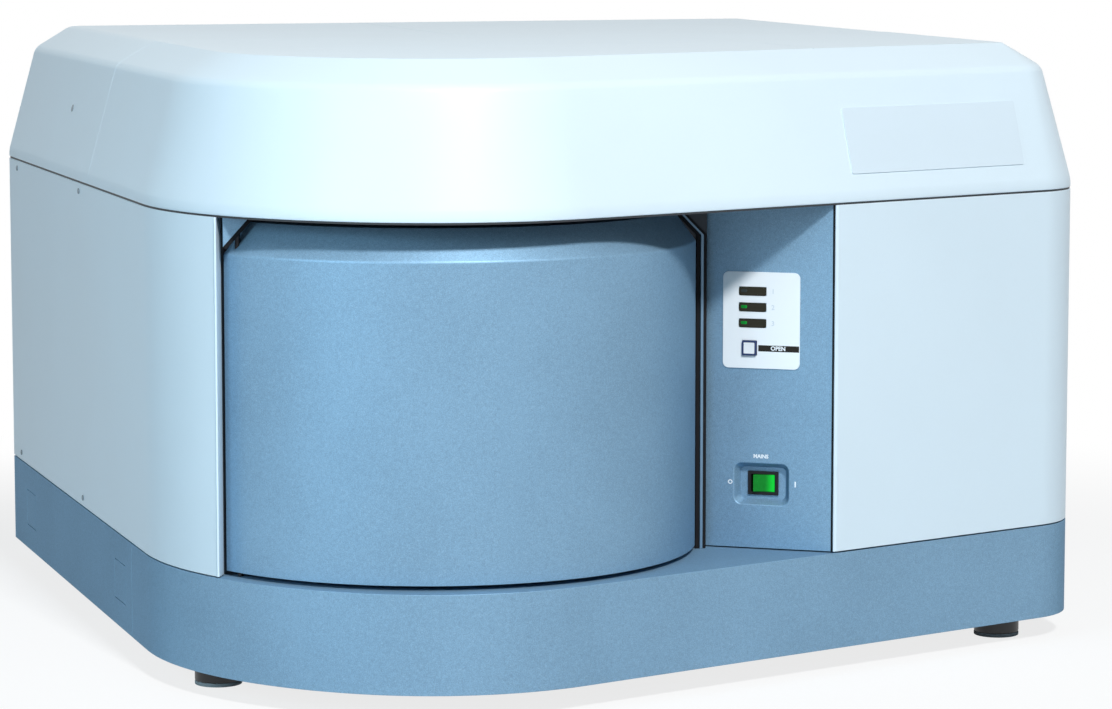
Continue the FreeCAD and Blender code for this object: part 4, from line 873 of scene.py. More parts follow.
    @staticmethod
    def keep_loose(obj: bpy.types.Object, seed: Chooser) -> None:
        """Keep only the loose parts that hold a picked face.

        Args:
            obj: the object in edit mode.
            seed: picks one or more faces.
        """
        Bench.pick_faces(obj, seed)
        bpy.ops.mesh.select_linked()
        bpy.ops.mesh.select_all(action="INVERT")
        bpy.ops.mesh.delete(type="VERT")

    @staticmethod
    def soft_block(name: str, size: Place, centre: Place, edge: float,
                   segments: int = 2) -> bpy.types.Object:
        """Block in millimetres with every edge rounded.

        Args:
            name: the object's name.
            size: its three sides.
            centre: its middle.
            edge: radius of its edges.
            segments: faces across an edge.

        Returns:
            The finished object.
        """
        obj = Bench.block(name, tuple(side * MM for side in size), tuple(part * MM for part in centre))
        Bench.pick_edges(obj, lambda middle, along, angle: True)
        Bench.round_off(edge * MM, segments)
        return Bench.close(obj)

    @staticmethod
    def repeat(name: str, obj: bpy.types.Object, places: Iterable[Matrix]) -> bpy.types.Object:
        """Copy a finished original to every place, join the copies and delete the original.

        Args:
            name: the joined object's name.
            obj: the original, at its own origin.
            places: where the copies go.

        Returns:
            The joined object.
        """
        copies = [Bench.copy_at(obj, f"{name}_{index}", place) for index, place in enumerate(places)]
        mesh = obj.data
        bpy.data.objects.remove(obj)
        bpy.data.meshes.remove(mesh)
        return Bench.join(name, copies)

    @staticmethod
    def lettering(name: str, words: str, height: float, matrix: Matrix, weight: float) -> bpy.types.Object:
        """Words as a thin solid, centred on the matrix's origin in its XY plane.

        Args:
            name: the object's name.
            words: what it says.
            height: height of its capitals in metres.
            matrix: where it goes; its Z axis points out of the surface.
            weight: extra thickness of the strokes, as a share of the height.

        Returns:
            The object as a mesh.
        """
        capital_share = 0.72
        thickness = 0.00004
        Bench.clear()
        bpy.ops.object.text_add(location=(0, 0, 0))
        obj = bpy.context.object
        obj.data.body = words
        obj.data.align_x, obj.data.align_y = "CENTER", "CENTER"
        obj.data.size = height / capital_share
        obj.data.offset = weight * height
        obj.data.extrude = thickness / 2
        obj.data.resolution_u = 4
        bpy.ops.object.convert(target="MESH")
        obj = bpy.context.object
        obj.name = obj.data.name = name
        obj.data.transform(matrix)
        Bench.clear()
        return obj


def seat(obj: bpy.types.Object, material: bpy.types.Material, body: str = "instrument",
         stands_for: Iterable[str] = ()) -> bpy.types.Object:
    """Dress a finished piece, let it ride on its body and report it.

    Args:
        obj: the piece.
        material: its finish.
        body: the body that it rides on.
        stands_for: the nodes that it replaces.

    Returns:
        The same piece.
    """
    obj.data.materials.clear()
    obj.data.materials.append(material)
    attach(obj, body)
    nodes = list(stands_for)
    if nodes:
        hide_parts(*nodes)
    log.info("piece %s: %d faces, rides on %s", obj.name, len(obj.data.polygons), body)
    return obj


# Materials by the record's slots


class Finishes:
    """Every finish of the object, by name: the record's slots and those of the scene's own pieces."""

    def __init__(self) -> None:
        """Build the materials."""
        self.made: dict[str, bpy.types.Material] = {}
        for finish in self.recipes():
            self.made[finish.name] = finish.build()
            log.info("finish %s", finish.name)

    @staticmethod
    def recipes() -> list[Finish]:
        """Every finish that is chosen by name."""
        return [
            PowderCoat("white_paint", (0.71, 0.82, 0.89)),
            MetallicPaint("metallic_paint", (0.217, 0.362, 0.50)),
            PowderCoat("base_paint", (0.30, 0.34, 0.38)),
            PowderCoat("frame_paint", (0.03, 0.034, 0.04), 0.6),
            PowderCoat("chamber_grey", (0.30, 0.40, 0.50), 0.5),
            PowderCoat("chamber_black", (0.022, 0.022, 0.025), 0.75, depth=0.00008),
            PowderCoat("stand_paint", (0.60, 0.63, 0.66), 0.4, 0.0018, 0.00005),
            Rubber("foot_pad_rubber", (0.42, 0.44, 0.45), (0.6, 0.6, 0.6)),
            Moulding("black_foot", (0.012, 0.012, 0.014), 0.4),
            Rubber("black_rubber", (0.012, 0.012, 0.014), (0.05, 0.05, 0.05)),
            Moulding("black_plastic", (0.012, 0.012, 0.014), 0.42, gloss=0.2),
            Metal("screw_metal", (0.62, 0.68, 0.74), 0.35, Grain.NONE),
            Metal("dull_zinc", (0.26, 0.30, 0.33), 0.55, Grain.NONE, 0.0006, 0.00001, 0.4),
            # near-black blue for the door frame: painted shade
            PowderCoat("shadow_blue", (0.018, 0.027, 0.04), 0.6),
            Metal("bare_steel", (0.58, 0.59, 0.60), 0.28, Grain.ALONG_Z),
            Metal("trim_aluminium", (0.15, 0.25, 0.35), 0.5, Grain.ALONG_Z, 0.0005, 0.00001, 0.3),
            Film("blank_plate", (0.66, 0.76, 0.83), 0.32),
            Film("white_film", (0.90, 0.95, 0.98), 0.3),
            Moulding("dark_window", (0.022, 0.021, 0.012), 0.2, 0.002, 0.000005, 0.2),
            Moulding("button_grey", (0.82, 0.88, 0.92), 0.42),
            Moulding("green_lamp", (0.01, 0.22, 0.04), 0.2),
            Metal("blackened_steel", (0.05, 0.05, 0.055), 0.42, Grain.ALONG_Z),
            ClearGlass("slide_glass", (0.93, 0.97, 0.95)),
            Metal("coated_glass", (0.10, 0.06, 0.16), 0.05, Grain.NONE, 0.002, 0.000001, 0.4),
            Film("specimen_stain", (0.62, 0.22, 0.38), 0.4),
            Ruled("ruled_gold"),
            Moulding("terminal_green", (0.03, 0.30, 0.12), 0.4),
            Metal("zinc_sheet", (0.50, 0.52, 0.54), 0.38, Grain.NONE, 0.004, 0.00001),
            Metal("knurled_steel", (0.55, 0.56, 0.58), 0.3, Grain.NONE, 0.0004, 0.00001),
            Metal("anodised_black", (0.03, 0.03, 0.034), 0.5, Grain.NONE, 0.0006, 0.00002, 0.6),
            Metal("anodised_clear", (0.66, 0.67, 0.69), 0.38, Grain.NONE, 0.0005, 0.00001),
            Metal("stage_black", (0.045, 0.045, 0.05), 0.42, Grain.ALONG_X, 0.0006, 0.00001, 0.7),
            Metal("chrome_parts", (0.72, 0.73, 0.75), 0.12, Grain.ROUND_Z, 0.0004, 0.000003),
            Metal("objective_metal", (0.64, 0.65, 0.67), 0.24, Grain.ROUND_Z, 0.0003, 0.000006),
            Moulding("knob_plastic", (0.02, 0.02, 0.022), 0.45),
            PowderCoat("camera_blue", (0.05, 0.10, 0.24), 0.4),
            PowderCoat("lamp_black", (0.025, 0.025, 0.027), 0.6),
            Metal("laser_body", (0.40, 0.42, 0.45), 0.42, Grain.ALONG_Y, 0.0006, 0.00001, 0.8),
            Metal("mirror_glass", (0.85, 0.86, 0.88), 0.04, Grain.NONE, 0.01, 0.000001),
            Metal("grating_metal", (0.58, 0.58, 0.63), 0.2, Grain.ALONG_X, 0.0002, 0.000006),
            Metal("detector_grey", (0.22, 0.23, 0.26), 0.45, Grain.ALONG_Z, 0.0006, 0.00001, 0.7),
            Moulding("board_green", (0.03, 0.16, 0.07), 0.4),
        ]

    def __getitem__(self, slot: str) -> bpy.types.Material:
        """The material of a slot."""
        return self.made[slot]

    def dress_nodes(self) -> None:
        """Give every node of the frame the material of its slot."""
        for part in frame["record"]["subparts"]:
            node = frame["nodes"][part["node"]]
            node.data.materials.clear()
            node.data.materials.append(self.made[part["material_slot"]])


# Edges


@dataclass(frozen=True)
class Crease:
    """One set of edges of a cover and how far they are rounded, in millimetres and degrees."""

    radius: float
    level: float | None = None
    least: float = 40.0
    most: float = 180.0
    segments: int = 3

    def holds(self, middle: Vector, along: Vector, angle: float) -> bool:
        """Whether an edge belongs to this crease.

        Args:
            middle: its middle.
            along: its direction.
            angle: the angle between its faces, in radians.

        Returns:
            True where the edge is rounded.
        """
        degrees = math.degrees(angle)
        on_level = self.level is None or abs(middle.z / MM - self.level) < 0.05
        flat = self.level is None or abs(along.z) < 0.05
        return on_level and flat and self.least <= degrees <= self.most


SLOTS = {part["node"]: part["material_slot"] for part in frame["record"]["subparts"]}


def soften(finishes: Finishes, node: str, creases: Sequence[Crease], finish: str | None = None,
           keep: Chooser | None = None, name: str | None = None) -> bpy.types.Object:
    """Stand a copy of a node in its place, with soft edges.

    Args:
        finishes: the materials.
        node: the node.
        creases: its edges to round, in order.
        finish: another finish than its slot's.
        keep: picks a face of each loose part that stays, where the rest is made apart.
        name: the piece's name, where it isn't the node's with "_body".

    Returns:
        The piece.
    """
    piece = Bench.from_node(node, name or f"{node}_body")
    if keep is not None:
        Bench.keep_loose(piece, keep)
    for crease in creases:
        if Bench.pick_edges(piece, crease.holds):
            Bench.round_off(crease.radius * MM, crease.segments)
    Bench.close(piece)
    body = body_of(frame["nodes"][node])[0]
    return seat(piece, finishes[finish or SLOTS[node]], body, [node])


# Cabinet


@dataclass
class Covers:
    """Sheet covers of the cabinet, with the soft edges that bending and painting leave."""

    finishes: Finishes
    hood_bottom: float = 482.5
    hood_lean: float = 490.5
    hood_chamfer: float = 610.5
    hood_top: float = 635.5
    panel_edge: float = 0.5
    plug_place: tuple[float, float] = (233.0, 555.0)
    plug_radius: float = 4.0
    plate_reach: tuple[float, float, float, float] = (-454.5, -426.5, 451.5, 481.5)
    plate_front: float = -372.5
    plate_thickness: float = 2.0
    plate_edge: float = 0.4
    # size of the black strip along the corner plate's slope: painted shade of the gap there
    lip_width: float = 4.0
    lip_depth: float = 3.0
    lip_edge: float = 0.6
    strip_depth: float = 0.9

    def recipes(self) -> dict[str, list[Crease]]:
        """Creases of every cover.

        Returns:
            Each cover's creases by its node, in the order in which they are rounded.
        """
        hood = [
            Crease(5.0, self.hood_lean, 10, 20),
            Crease(6.0, self.hood_chamfer, 40, 50),
            Crease(6.0, self.hood_top, 25, 35),
            Crease(1.0, self.hood_bottom, 80, 100, 2),
            Crease(0.3, None, 80, 100, 1),
        ]
        sheet = [Crease(self.panel_edge, None, 40)]
        return {
            "front_hood": hood,
            "rear_left_hood": hood,
            "rear_right_hood": hood,
            "hood_access_lid": [Crease(0.3, None, 80, 100, 2)],
            "left_side_panel": sheet,
            "right_side_panel": sheet,
            "base_front_skirt": sheet,
            "base_side_and_rear_skirts": sheet,
            "hood_name_plate": [Crease(0.3, None, 60, 120, 2)],
        }

    def build(self) -> None:
        """Model every cover."""
        for node, creases in self.recipes().items():
            soften(self.finishes, node, creases)
        self.hood_plug()
        self.corner_strips()
        self.corner_plate()

    def hood_plug(self) -> None:
        """Round plug in the hood's left side."""
        mesh = frame["nodes"]["rear_left_hood"].data
        skin = BVHTree.FromPolygons([v.co for v in mesh.vertices], [p.vertices for p in mesh.polygons])
        outside = -1000.0
        start = Vector((outside, *self.plug_place)) * MM
        place, normal, _, _ = skin.ray_cast(start, Vector((1.0, 0.0, 0.0)))
        radius = self.plug_radius
        plug = Bench.turned("hood_plug", [(radius, -0.5), (radius, 0.5), (radius - 0.4, 0.8)], 32)
        Bench.close(plug)
        turn = normal.to_track_quat("Z", "Y").to_matrix().to_4x4()
        plug.data.transform(Matrix.Translation(place) @ turn)
        seat(plug, self.finishes["dull_zinc"])

    def corner_strips(self) -> None:
        """Black seal and painted flange in the corner beside the control panel."""
        low, high = (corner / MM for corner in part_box("control_panel"))
        middle, length = (low.z + high.z) / 2, high.z - low.z
        for name, width, depth, gap, edge, finish in (
            ("corner_seal", 1.3, 6.0, 0.8, 0.2, "black_rubber"),
            ("corner_flange", 3.0, 9.0, 2.95, 0.5, "white_paint"),
        ):
            centre = (high.x + gap, low.y + self.strip_depth, middle)
            seat(Bench.soft_block(name, (width, depth, length), centre, edge), self.finishes[finish])

    def corner_plate(self) -> None:
        """Painted plate over the door's left upper corner, with a black strip along its slope that is
        painted shade where the gap lies in shadow.
        """
        left, right, bottom, top = self.plate_reach
        size = (right - left, self.plate_thickness, top - bottom)
        centre = ((left + right) / 2, self.plate_front + self.plate_thickness / 2, (bottom + top) / 2)
        plate = Bench.block("corner_plate", tuple(s * MM for s in size), tuple(c * MM for c in centre))
        slope = Vector((right - left, 0.0, top - bottom)).normalized()
        bpy.ops.mesh.bisect(plane_co=Vector((left, 0.0, bottom)) * MM, plane_no=(slope.z, 0.0, -slope.x),
                            use_fill=True, clear_outer=True)
        Bench.pick_edges(plate, lambda place, along, angle: angle > 0.5)
        Bench.round_off(self.plate_edge * MM, 2)
        Bench.close(plate)
        seat(plate, self.finishes["metallic_paint"])
        # black strip along the slope: painted shade standing in for the shadowed gap
        reach = math.hypot(size[0], size[2])
        gap_shade_strip = Bench.soft_block("corner_gap_shade_strip", (reach, self.lip_depth, self.lip_width),
                               (reach / 2, 0.0, -self.lip_width / 2), self.lip_edge)
        turn = Matrix.Rotation(-math.atan2(size[2], size[0]), 4, "Y")
        gap_shade_strip.data.transform(Matrix.Translation(Vector((left, centre[1], bottom)) * MM) @ turn)
        seat(gap_shade_strip, self.finishes["black_rubber"])


# Control panel


@dataclass
class ControlPanel:
    """Control panel: painted face, printing, lamps, button and switch, in its own turned frame."""

    finishes: Finishes
    turn: float = 35.4
    film_front: float = -1.2
    film_right: float = 100.8
    window_u: float = 51.0
    window_width: float = 29.0
    window_height: float = 9.2
    window_levels: tuple[float, float, float] = (390.3, 373.9, 357.5)
    window_proud: float = 0.4
    spot_inset: float = 5.6
    spot_lift: float = 0.4
    spot_size: tuple[float, float] = (6.4, 3.0)
    spot_glow_half: float = 3.6
    numeral_u: float = 72.5
    numeral_height: float = 5.0
    button_u: float = 48.0
    button_z: float = 332.0
    button_side: float = 15.0
    button_proud: float = 2.2
    rim_width: float = 1.8
    label_gap: float = 1.8
    label_margin: float = 0.6
    label_height: float = 6.4
    word_u: float = 78.2
    word_height: float = 4.3
    recess_u: float = 61.0
    recess_z: float = 191.6
    recess_depth: float = 9.0
    recess_size: tuple[float, float] = (58.0, 43.0)
    recess_lip: float = 2.6
    rocker_half: float = 12.3
    mark_weight: float = 0.055
    edge: float = 0.8
    places: Matrix = field(init=False)
    ink: bpy.types.Material = field(init=False)
    dark_ink: bpy.types.Material = field(init=False)
    faint_ink: bpy.types.Material = field(init=False)
    navy: bpy.types.Material = field(init=False)

    def __post_init__(self) -> None:
        """Work out where the panel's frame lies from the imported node, and mix the inks."""
        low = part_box("control_panel")[0]
        origin = Vector((low.x, self.front_corner_y(), 0.0))
        self.places = Matrix.Translation(origin) @ Matrix.Rotation(math.radians(-self.turn), 4, "Z")
        self.ink = Film("white_ink", (0.88, 0.92, 0.95), 0.5).build()
        self.dark_ink = Moulding("black_ink", (0.02, 0.018, 0.014), 0.4, gloss=0.15).build()
        self.faint_ink = Film("faint_ink", (0.66, 0.74, 0.80), 0.5).build()
        self.navy = Moulding("navy_rim", (0.012, 0.03, 0.11), 0.4).build()

    def front_corner_y(self) -> float:
        """Y of the panel's left front corner.

        Returns:
            The place in metres.
        """
        mesh = frame["nodes"]["control_panel"].data
        left = min(v.co.x for v in mesh.vertices)
        return min(v.co.y for v in mesh.vertices if v.co.x < left + 0.01 * MM)

    def facing(self, u: float, z: float, depth: float) -> Matrix:
        """Frame of something flat on the panel.

        Args:
            u: place along the panel.
            z: height.
            depth: depth of its rear face.

        Returns:
            A matrix whose X runs along the panel, Y up and Z outwards.
        """
        upright = Matrix.Rotation(math.radians(90), 4, "X")
        return self.places @ Matrix.Translation(Vector((u, depth, z)) * MM) @ upright

    def tile(self, name: str, u: float, z: float, width: float, height: float, back: float, front: float,
             corner: float, edge: float) -> bpy.types.Object:
        """Rounded tile that stands on the panel.

        Args:
            name: the object's name.
            u: middle along the panel.
            z: middle height.
            width: along the panel.
            height: upwards.
            back: depth of its rear face.
            front: depth of its front face.
            corner: radius of its four corners.
            edge: radius of its front edge.

        Returns:
            The object.
        """
        obj = Bench.block(name, (width * MM, (back - front) * MM, height * MM),
                          (u * MM, (back + front) / 2 * MM, z * MM))
        Bench.pick_edges(obj, lambda middle, along, angle: abs(along.y) > 0.9)
        Bench.round_off(corner * MM, 5)
        Bench.pick_faces(obj, lambda centre, normal: normal.y < -0.9)
        bpy.ops.mesh.region_to_loop()
        Bench.round_off(edge * MM, 2)
        Bench.close(obj)
        obj.data.transform(self.places)
        return obj

    def build(self) -> None:
        """Model the panel and every piece on it."""
        self.face()
        self.windows()
        self.lamp_spots()
        self.button_cap()
        self.label_bar()
        self.switch()
        self.switch_marks()

    def local(self, place: Vector) -> Vector:
        """A place in the panel's own frame, in millimetres."""
        return (self.places.inverted() @ place) / MM

    def face(self) -> None:
        """Painted panel with a soft mouth round the switch recess, and the printed film."""
        panel = Bench.from_node("control_panel", "control_panel_body")
        half_u, half_z = self.recess_size[0] / 2 + 1, self.recess_size[1] / 2 + 1

        def mouth(middle: Vector, along: Vector, angle: float) -> bool:
            """Whether an edge runs round the mouth of the recess.

            Args:
                middle: its middle.
                along: its direction; not used.
                angle: the angle between its faces, in radians.

            Returns:
                True for the mouth's edges.
            """
            u, depth, z = self.local(middle)
            inside = abs(u - self.recess_u) < half_u and abs(z - self.recess_z) < half_z
            return inside and abs(depth) < 0.05 and angle > 0.5

        if Bench.pick_edges(panel, mouth):
            Bench.round_off(self.recess_lip * MM, 4)
        edges = Crease(self.edge, None, 60, 180, 2)
        if Bench.pick_edges(panel, lambda middle, along, angle: edges.holds(middle, along, angle)
                            and self.local(middle).y < self.recess_depth - 0.1):
            Bench.round_off(edges.radius * MM, edges.segments)
        Bench.close(panel)
        seat(panel, self.finishes["metallic_paint"], stands_for=["control_panel"])
        soften(self.finishes, "indicator_plate", [Crease(0.3, None, 50, 180, 2)])

    def switch(self) -> None:
        """Black bezel and the lit rocker, bright towards its pressed end."""
        soften(self.finishes, "switch_case", [Crease(0.7, None, 50, 180, 3)])
        dark, bright = (tuple(self.places @ (Vector((self.recess_u + u, 6.0, self.recess_z)) * MM))
                        for u in (-self.rocker_half, self.rocker_half))
        light = LitPlastic("rocker_light", (0.0, 0.13, 0.015), (0.0, 0.80, 0.04), 0.7, dark, bright)
        self.finishes.made[light.name] = light.build()
        soften(self.finishes, "power_rocker", [Crease(0.6, None, 40, 180, 3)], light.name)

    def windows(self) -> None:
        """Three dark windows with round corners."""
        front = self.film_front - self.window_proud
        parts = [self.tile(f"window_{i}", self.window_u, z, self.window_width, self.window_height, 0.0,
                           front, 2.4, 0.35) for i, z in enumerate(self.window_levels)]
        joined = Bench.join("lamp_windows", parts)
        seat(joined, self.finishes["dark_window"], stands_for=["indicator_windows"])

    def lamp_spots(self) -> None:
        """Lamps at the left end of the windows, the lower two lit green and the first off with a faint
        painted glint, and their numerals.
        """
        front = self.film_front - self.window_proud
        u = self.window_u - self.window_width / 2 + self.spot_inset
        # the first lamp is off; its faint glow is a painted glint
        unlit_with_painted_glint, green = ((0.03, 0.04, 0.04), 0.2), ((0.0, 0.22, 0.02), 0.9)
        for i, z in enumerate(self.window_levels):
            colour, strength = green if i > 0 else unlit_with_painted_glint
            name = f"lamp_spot_{i + 1}"
            spot = self.tile(name, u, z + self.spot_lift, *self.spot_size, front, front - 0.08, 1.2, 0.02)
            ends = [tuple(self.places @ (Vector((u + x, front, z)) * MM))
                    for x in (-self.spot_glow_half, self.spot_glow_half)]
            seat(spot, LitPlastic(name, colour, colour, strength, *ends).build())
            numeral = Bench.lettering(f"lamp_numeral_{i + 1}", str(i + 1), self.numeral_height * MM,
                                      self.facing(self.numeral_u, z, self.film_front), 0.02)
            seat(numeral, self.faint_ink)

    def button_cap(self) -> None:
        """Navy rim and pale dished cap on the door button."""
        front = self.film_front - self.button_proud
        side = self.button_side
        rim = self._framed("button_rim", side, front + 3.0, front - 0.1, (1.7, 0.1), 0.6, 1.2)
        seat(rim, self.navy, "button", ["door_button"])
        inner = side - 2 * self.rim_width
        cap = self._framed("button_cap", inner, front + 2.0, front - 0.25, (1.2, 1.0), 0.35, 0.6)
        seat(cap, self.finishes["button_grey"], "button")

    def _framed(self, name: str, side: float, back: float, front: float, insets: tuple[float, float],
                sunk: float, corner: float) -> bpy.types.Object:
        """Square block on the button's place, with its middle sunk inside a frame.

        Args:
            name: the object's name.
            side: width and height.
            back: depth of its rear face.
            front: depth of its front face.
            insets: width of the frame and of the slope inside it.
            sunk: how far the middle is sunk.
            corner: radius of its four corners.

        Returns:
            The block.
        """
        obj = Bench.block(name, (side * MM, (back - front) * MM, side * MM),
                          (self.button_u * MM, (back + front) / 2 * MM, self.button_z * MM))
        Bench.pick_faces(obj, lambda centre, normal: normal.y < -0.9)
        bpy.ops.mesh.inset(thickness=insets[0] * MM, depth=0.0)
        bpy.ops.mesh.inset(thickness=insets[1] * MM, depth=-sunk * MM)
        Bench.pick_edges(obj, lambda middle, along, angle: abs(along.y) > 0.9)
        Bench.round_off(corner * MM, 4)
        edge = 0.25
        Bench.pick_edges(obj, lambda middle, along, angle: abs(middle.y / MM - front) < 0.01 and angle > 0.9)
        Bench.round_off(edge * MM, 2)
        Bench.close(obj)
        obj.data.transform(self.places)
        return obj

    def label_bar(self) -> None:
        """Black bar from the button to the film's edge, with a plain word."""
        start = self.button_u + self.button_side / 2 + self.label_gap
        end = self.film_right - self.label_margin
        bar = self.tile("label_bar", (start + end) / 2, self.button_z, end - start, self.label_height,
                        self.film_front, self.film_front - 0.06, 0.15, 0.02)
        seat(bar, self.dark_ink)
        place = self.facing(self.word_u, self.button_z, self.film_front - 0.08)
        seat(Bench.lettering("label_word", "OPEN", self.word_height * MM, place, 0.05), self.ink)

    def switch_marks(self) -> None:
        """Marks printed round the power switch."""
        for name, words, height, u, z in (
            ("mark_off", "O", 4.4, 28.1, 192.6),
            ("mark_on", "I", 5.6, 96.8, 192.5),
            ("switch_word", "MAINS", 3.9, 60.4, 220.2),
        ):
            mark = Bench.lettering(name, words, height * MM, self.facing(u, z, 0.0), self.mark_weight)
            seat(mark, self.ink)


# Parts with plain soft edges


@dataclass
class SoftParts:
    """Cast, milled, moulded and rubber parts whose shape is the node's own, with their edges broken."""

    finishes: Finishes

    def radii(self) -> dict[str, float]:
        """Edge radius in millimetres of each node."""
        return {
            "foot_blocks": 1.6, "foot_pads": 0.8, "lifting_bar_covers": 0.9, "base_deck": 0.4,
            "rear_panel": 0.4, "mains_inlet": 0.5, "fan_frame": 0.8, "fan_rotor": 0.4, "frame_posts": 1.5,
            "door_trim": 0.4, "trim_seals": 0.5, "chamber_walls": 0.6,
            "door_gasket": 1.0, "door_fittings": 0.6, "door_lock": 1.0, "lock_bolt": 0.5,
            "bench_isolators": 1.2, "optical_bench": 1.2, "lasers": 1.4, "beam_optics": 0.5,
            "filter_wheel": 0.5, "slit_unit": 0.6, "spectrograph_case": 1.4, "spectrograph_lid": 1.0,
            "grating_turret": 0.6, "detector_camera": 0.6, "spectrograph_mirrors": 0.5,
        }

    def build(self) -> None:
        """Dress every part."""
        for node, radius in self.radii().items():
            soften(self.finishes, node, [Crease(radius, None, 50, 180, 2)])
        soften(self.finishes, "pivot_pins", [Crease(0.4, None, 50, 180, 2)], "anodised_black")
        # the door frame gets near-black blue: painted shade
        soften(self.finishes, "door_frame", [Crease(0.8, None, 50, 180, 2)], "shadow_blue")


# Screws


@dataclass(frozen=True)
class ScrewSet:
    """Screws of one size that are seen together."""

    name: str
    radius: float
    height: float
    places: tuple[Matrix, ...]
    body: str = "instrument"
    stands_for: tuple[str, ...] = ()
    finish: str = "screw_metal"


@dataclass
class Screws:
    """Socket screws: each head is modelled once and copied to its places."""

    finishes: Finishes
    socket_share: float = 0.46
    socket_depth_share: float = 0.6
    side_face: float = 500.0
    rear_face: float = 532.0
    inlet_face: float = 534.0
    liner_face: float = -352.0
    stand_top: float = 219.0
    lid_top: float = 335.0
    clamp_top: float = 275.0

    def head(self, radius: float, height: float) -> bpy.types.Object:
        """One head with a hexagon socket, standing on its own origin.

        Args:
            radius: of the head, in millimetres.
            height: of the head.

        Returns:
            The head.
        """
        edge = min(0.25 * height, 0.12 * radius)
        head = Bench.turned("screw_head", [(radius, 0.0), (radius, height)], 24)
        Bench.pick_edges(head, lambda middle, along, angle: middle.z > 0.9 * height * MM and angle > 0.9)
        Bench.round_off(edge * MM, 2)
        Bench.close(head)
        depth = height * self.socket_depth_share
        socket_radius = radius * self.socket_share
        socket = Bench.drum("socket", socket_radius * MM, 2 * depth * MM, (0, 0, height * MM), 6)
        Bench.close(socket)
        Bench.modifier(head, "BOOLEAN", operation="DIFFERENCE", object=socket, solver="EXACT")
        bpy.data.objects.remove(socket)
        return head

    def sets(self) -> list[ScrewSet]:
        """Every set of screws, by place in millimetres.

        Returns:
            The sets, each with the places of its heads.
        """
        levels, posts, backs = (134.5, 471.5), (115.0, 484.0), (-470.0, 0.0, 470.0)
        sides = ((Facing.LEFT, -self.side_face), (Facing.RIGHT, self.side_face))
        outside = [side.at(x, y, z) for side, x in sides for y in posts for z in levels]
        outside += [Facing.BACK.at(x, self.rear_face, z) for x in backs for z in levels]
        fan = [Facing.BACK.at(x, self.rear_face, z) for x in (277.5, 382.5) for z in (196.5, 301.5)]
        inlet = [Facing.BACK.at(x, self.inlet_face, 184.0) for x in (-399.0, -361.0)]
        liner = [Facing.BACK.at(x, self.liner_face, z) for x in (-400.0, -300.0, -200.0, -100.0, -25.0)
                 for z in (160.0, 412.0)]
        lugs = [Facing.BACK.at(-417.0, self.liner_face, z) for z in (140.0, 432.0)]
        stand = [Facing.UP.at(x, y, self.stand_top) for x in (-281.0, -119.0) for y in (-276.0, -64.0)]
        lid = [Facing.UP.at(x, y, self.lid_top) for x in (68.0, 156.5, 245.0, 333.5, 422.0)
               for y in (68.0, 442.0)]
        lid += [Facing.UP.at(x, y, self.lid_top) for x in (68.0, 422.0) for y in (161.5, 255.0, 348.5)]
        rods = [Facing.UP.at(x, y, self.clamp_top) for x in (-294.0, -246.0) for y in (167.6, 372.4)]
        return [
            ScrewSet("panel_screw_heads", 3.0, 1.2, tuple(outside), stands_for=("panel_screws",),
                     finish="dull_zinc"),
            ScrewSet("fan_screws", 2.8, 1.0, tuple(fan), finish="blackened_steel"),
            ScrewSet("inlet_screws", 2.2, 0.7, tuple(inlet), finish="blackened_steel"),
            ScrewSet("liner_screws", 3.4, 1.4, tuple(liner), "door"),
            ScrewSet("lug_screws", 2.6, 1.0, tuple(lugs), "door"),
            ScrewSet("stand_screws", 5.0, 5.0, tuple(stand), finish="blackened_steel"),
            ScrewSet("lid_screws", 4.0, 3.0, tuple(lid)),
            ScrewSet("laser_clamp_screws", 4.0, 4.0, tuple(rods), finish="blackened_steel"),
        ]

    def build(self) -> None:
        """Model every set."""
        for screws in self.sets():
            joined = Bench.repeat(screws.name, self.head(screws.radius, screws.height), screws.places)
            seat(joined, self.finishes[screws.finish], screws.body, screws.stands_for)


# Door


@dataclass
class Door:
    """Round door: painted shell with a soft crease, and its dark liner."""

    finishes: Finishes
    crease_level: float = 443.0
    crease_radius: float = 1.6
    edge: float = 0.9

    def build(self) -> None:
        """Dress the door."""
        crease = Crease(self.crease_radius, self.crease_level, 20, 60, 4)
        soften(self.finishes, "door_shell", [crease, Crease(self.edge, None, 62, 180, 2)])
        soften(self.finishes, "door_liner", [Crease(0.8, None, 50, 180, 2)])


# Microscope


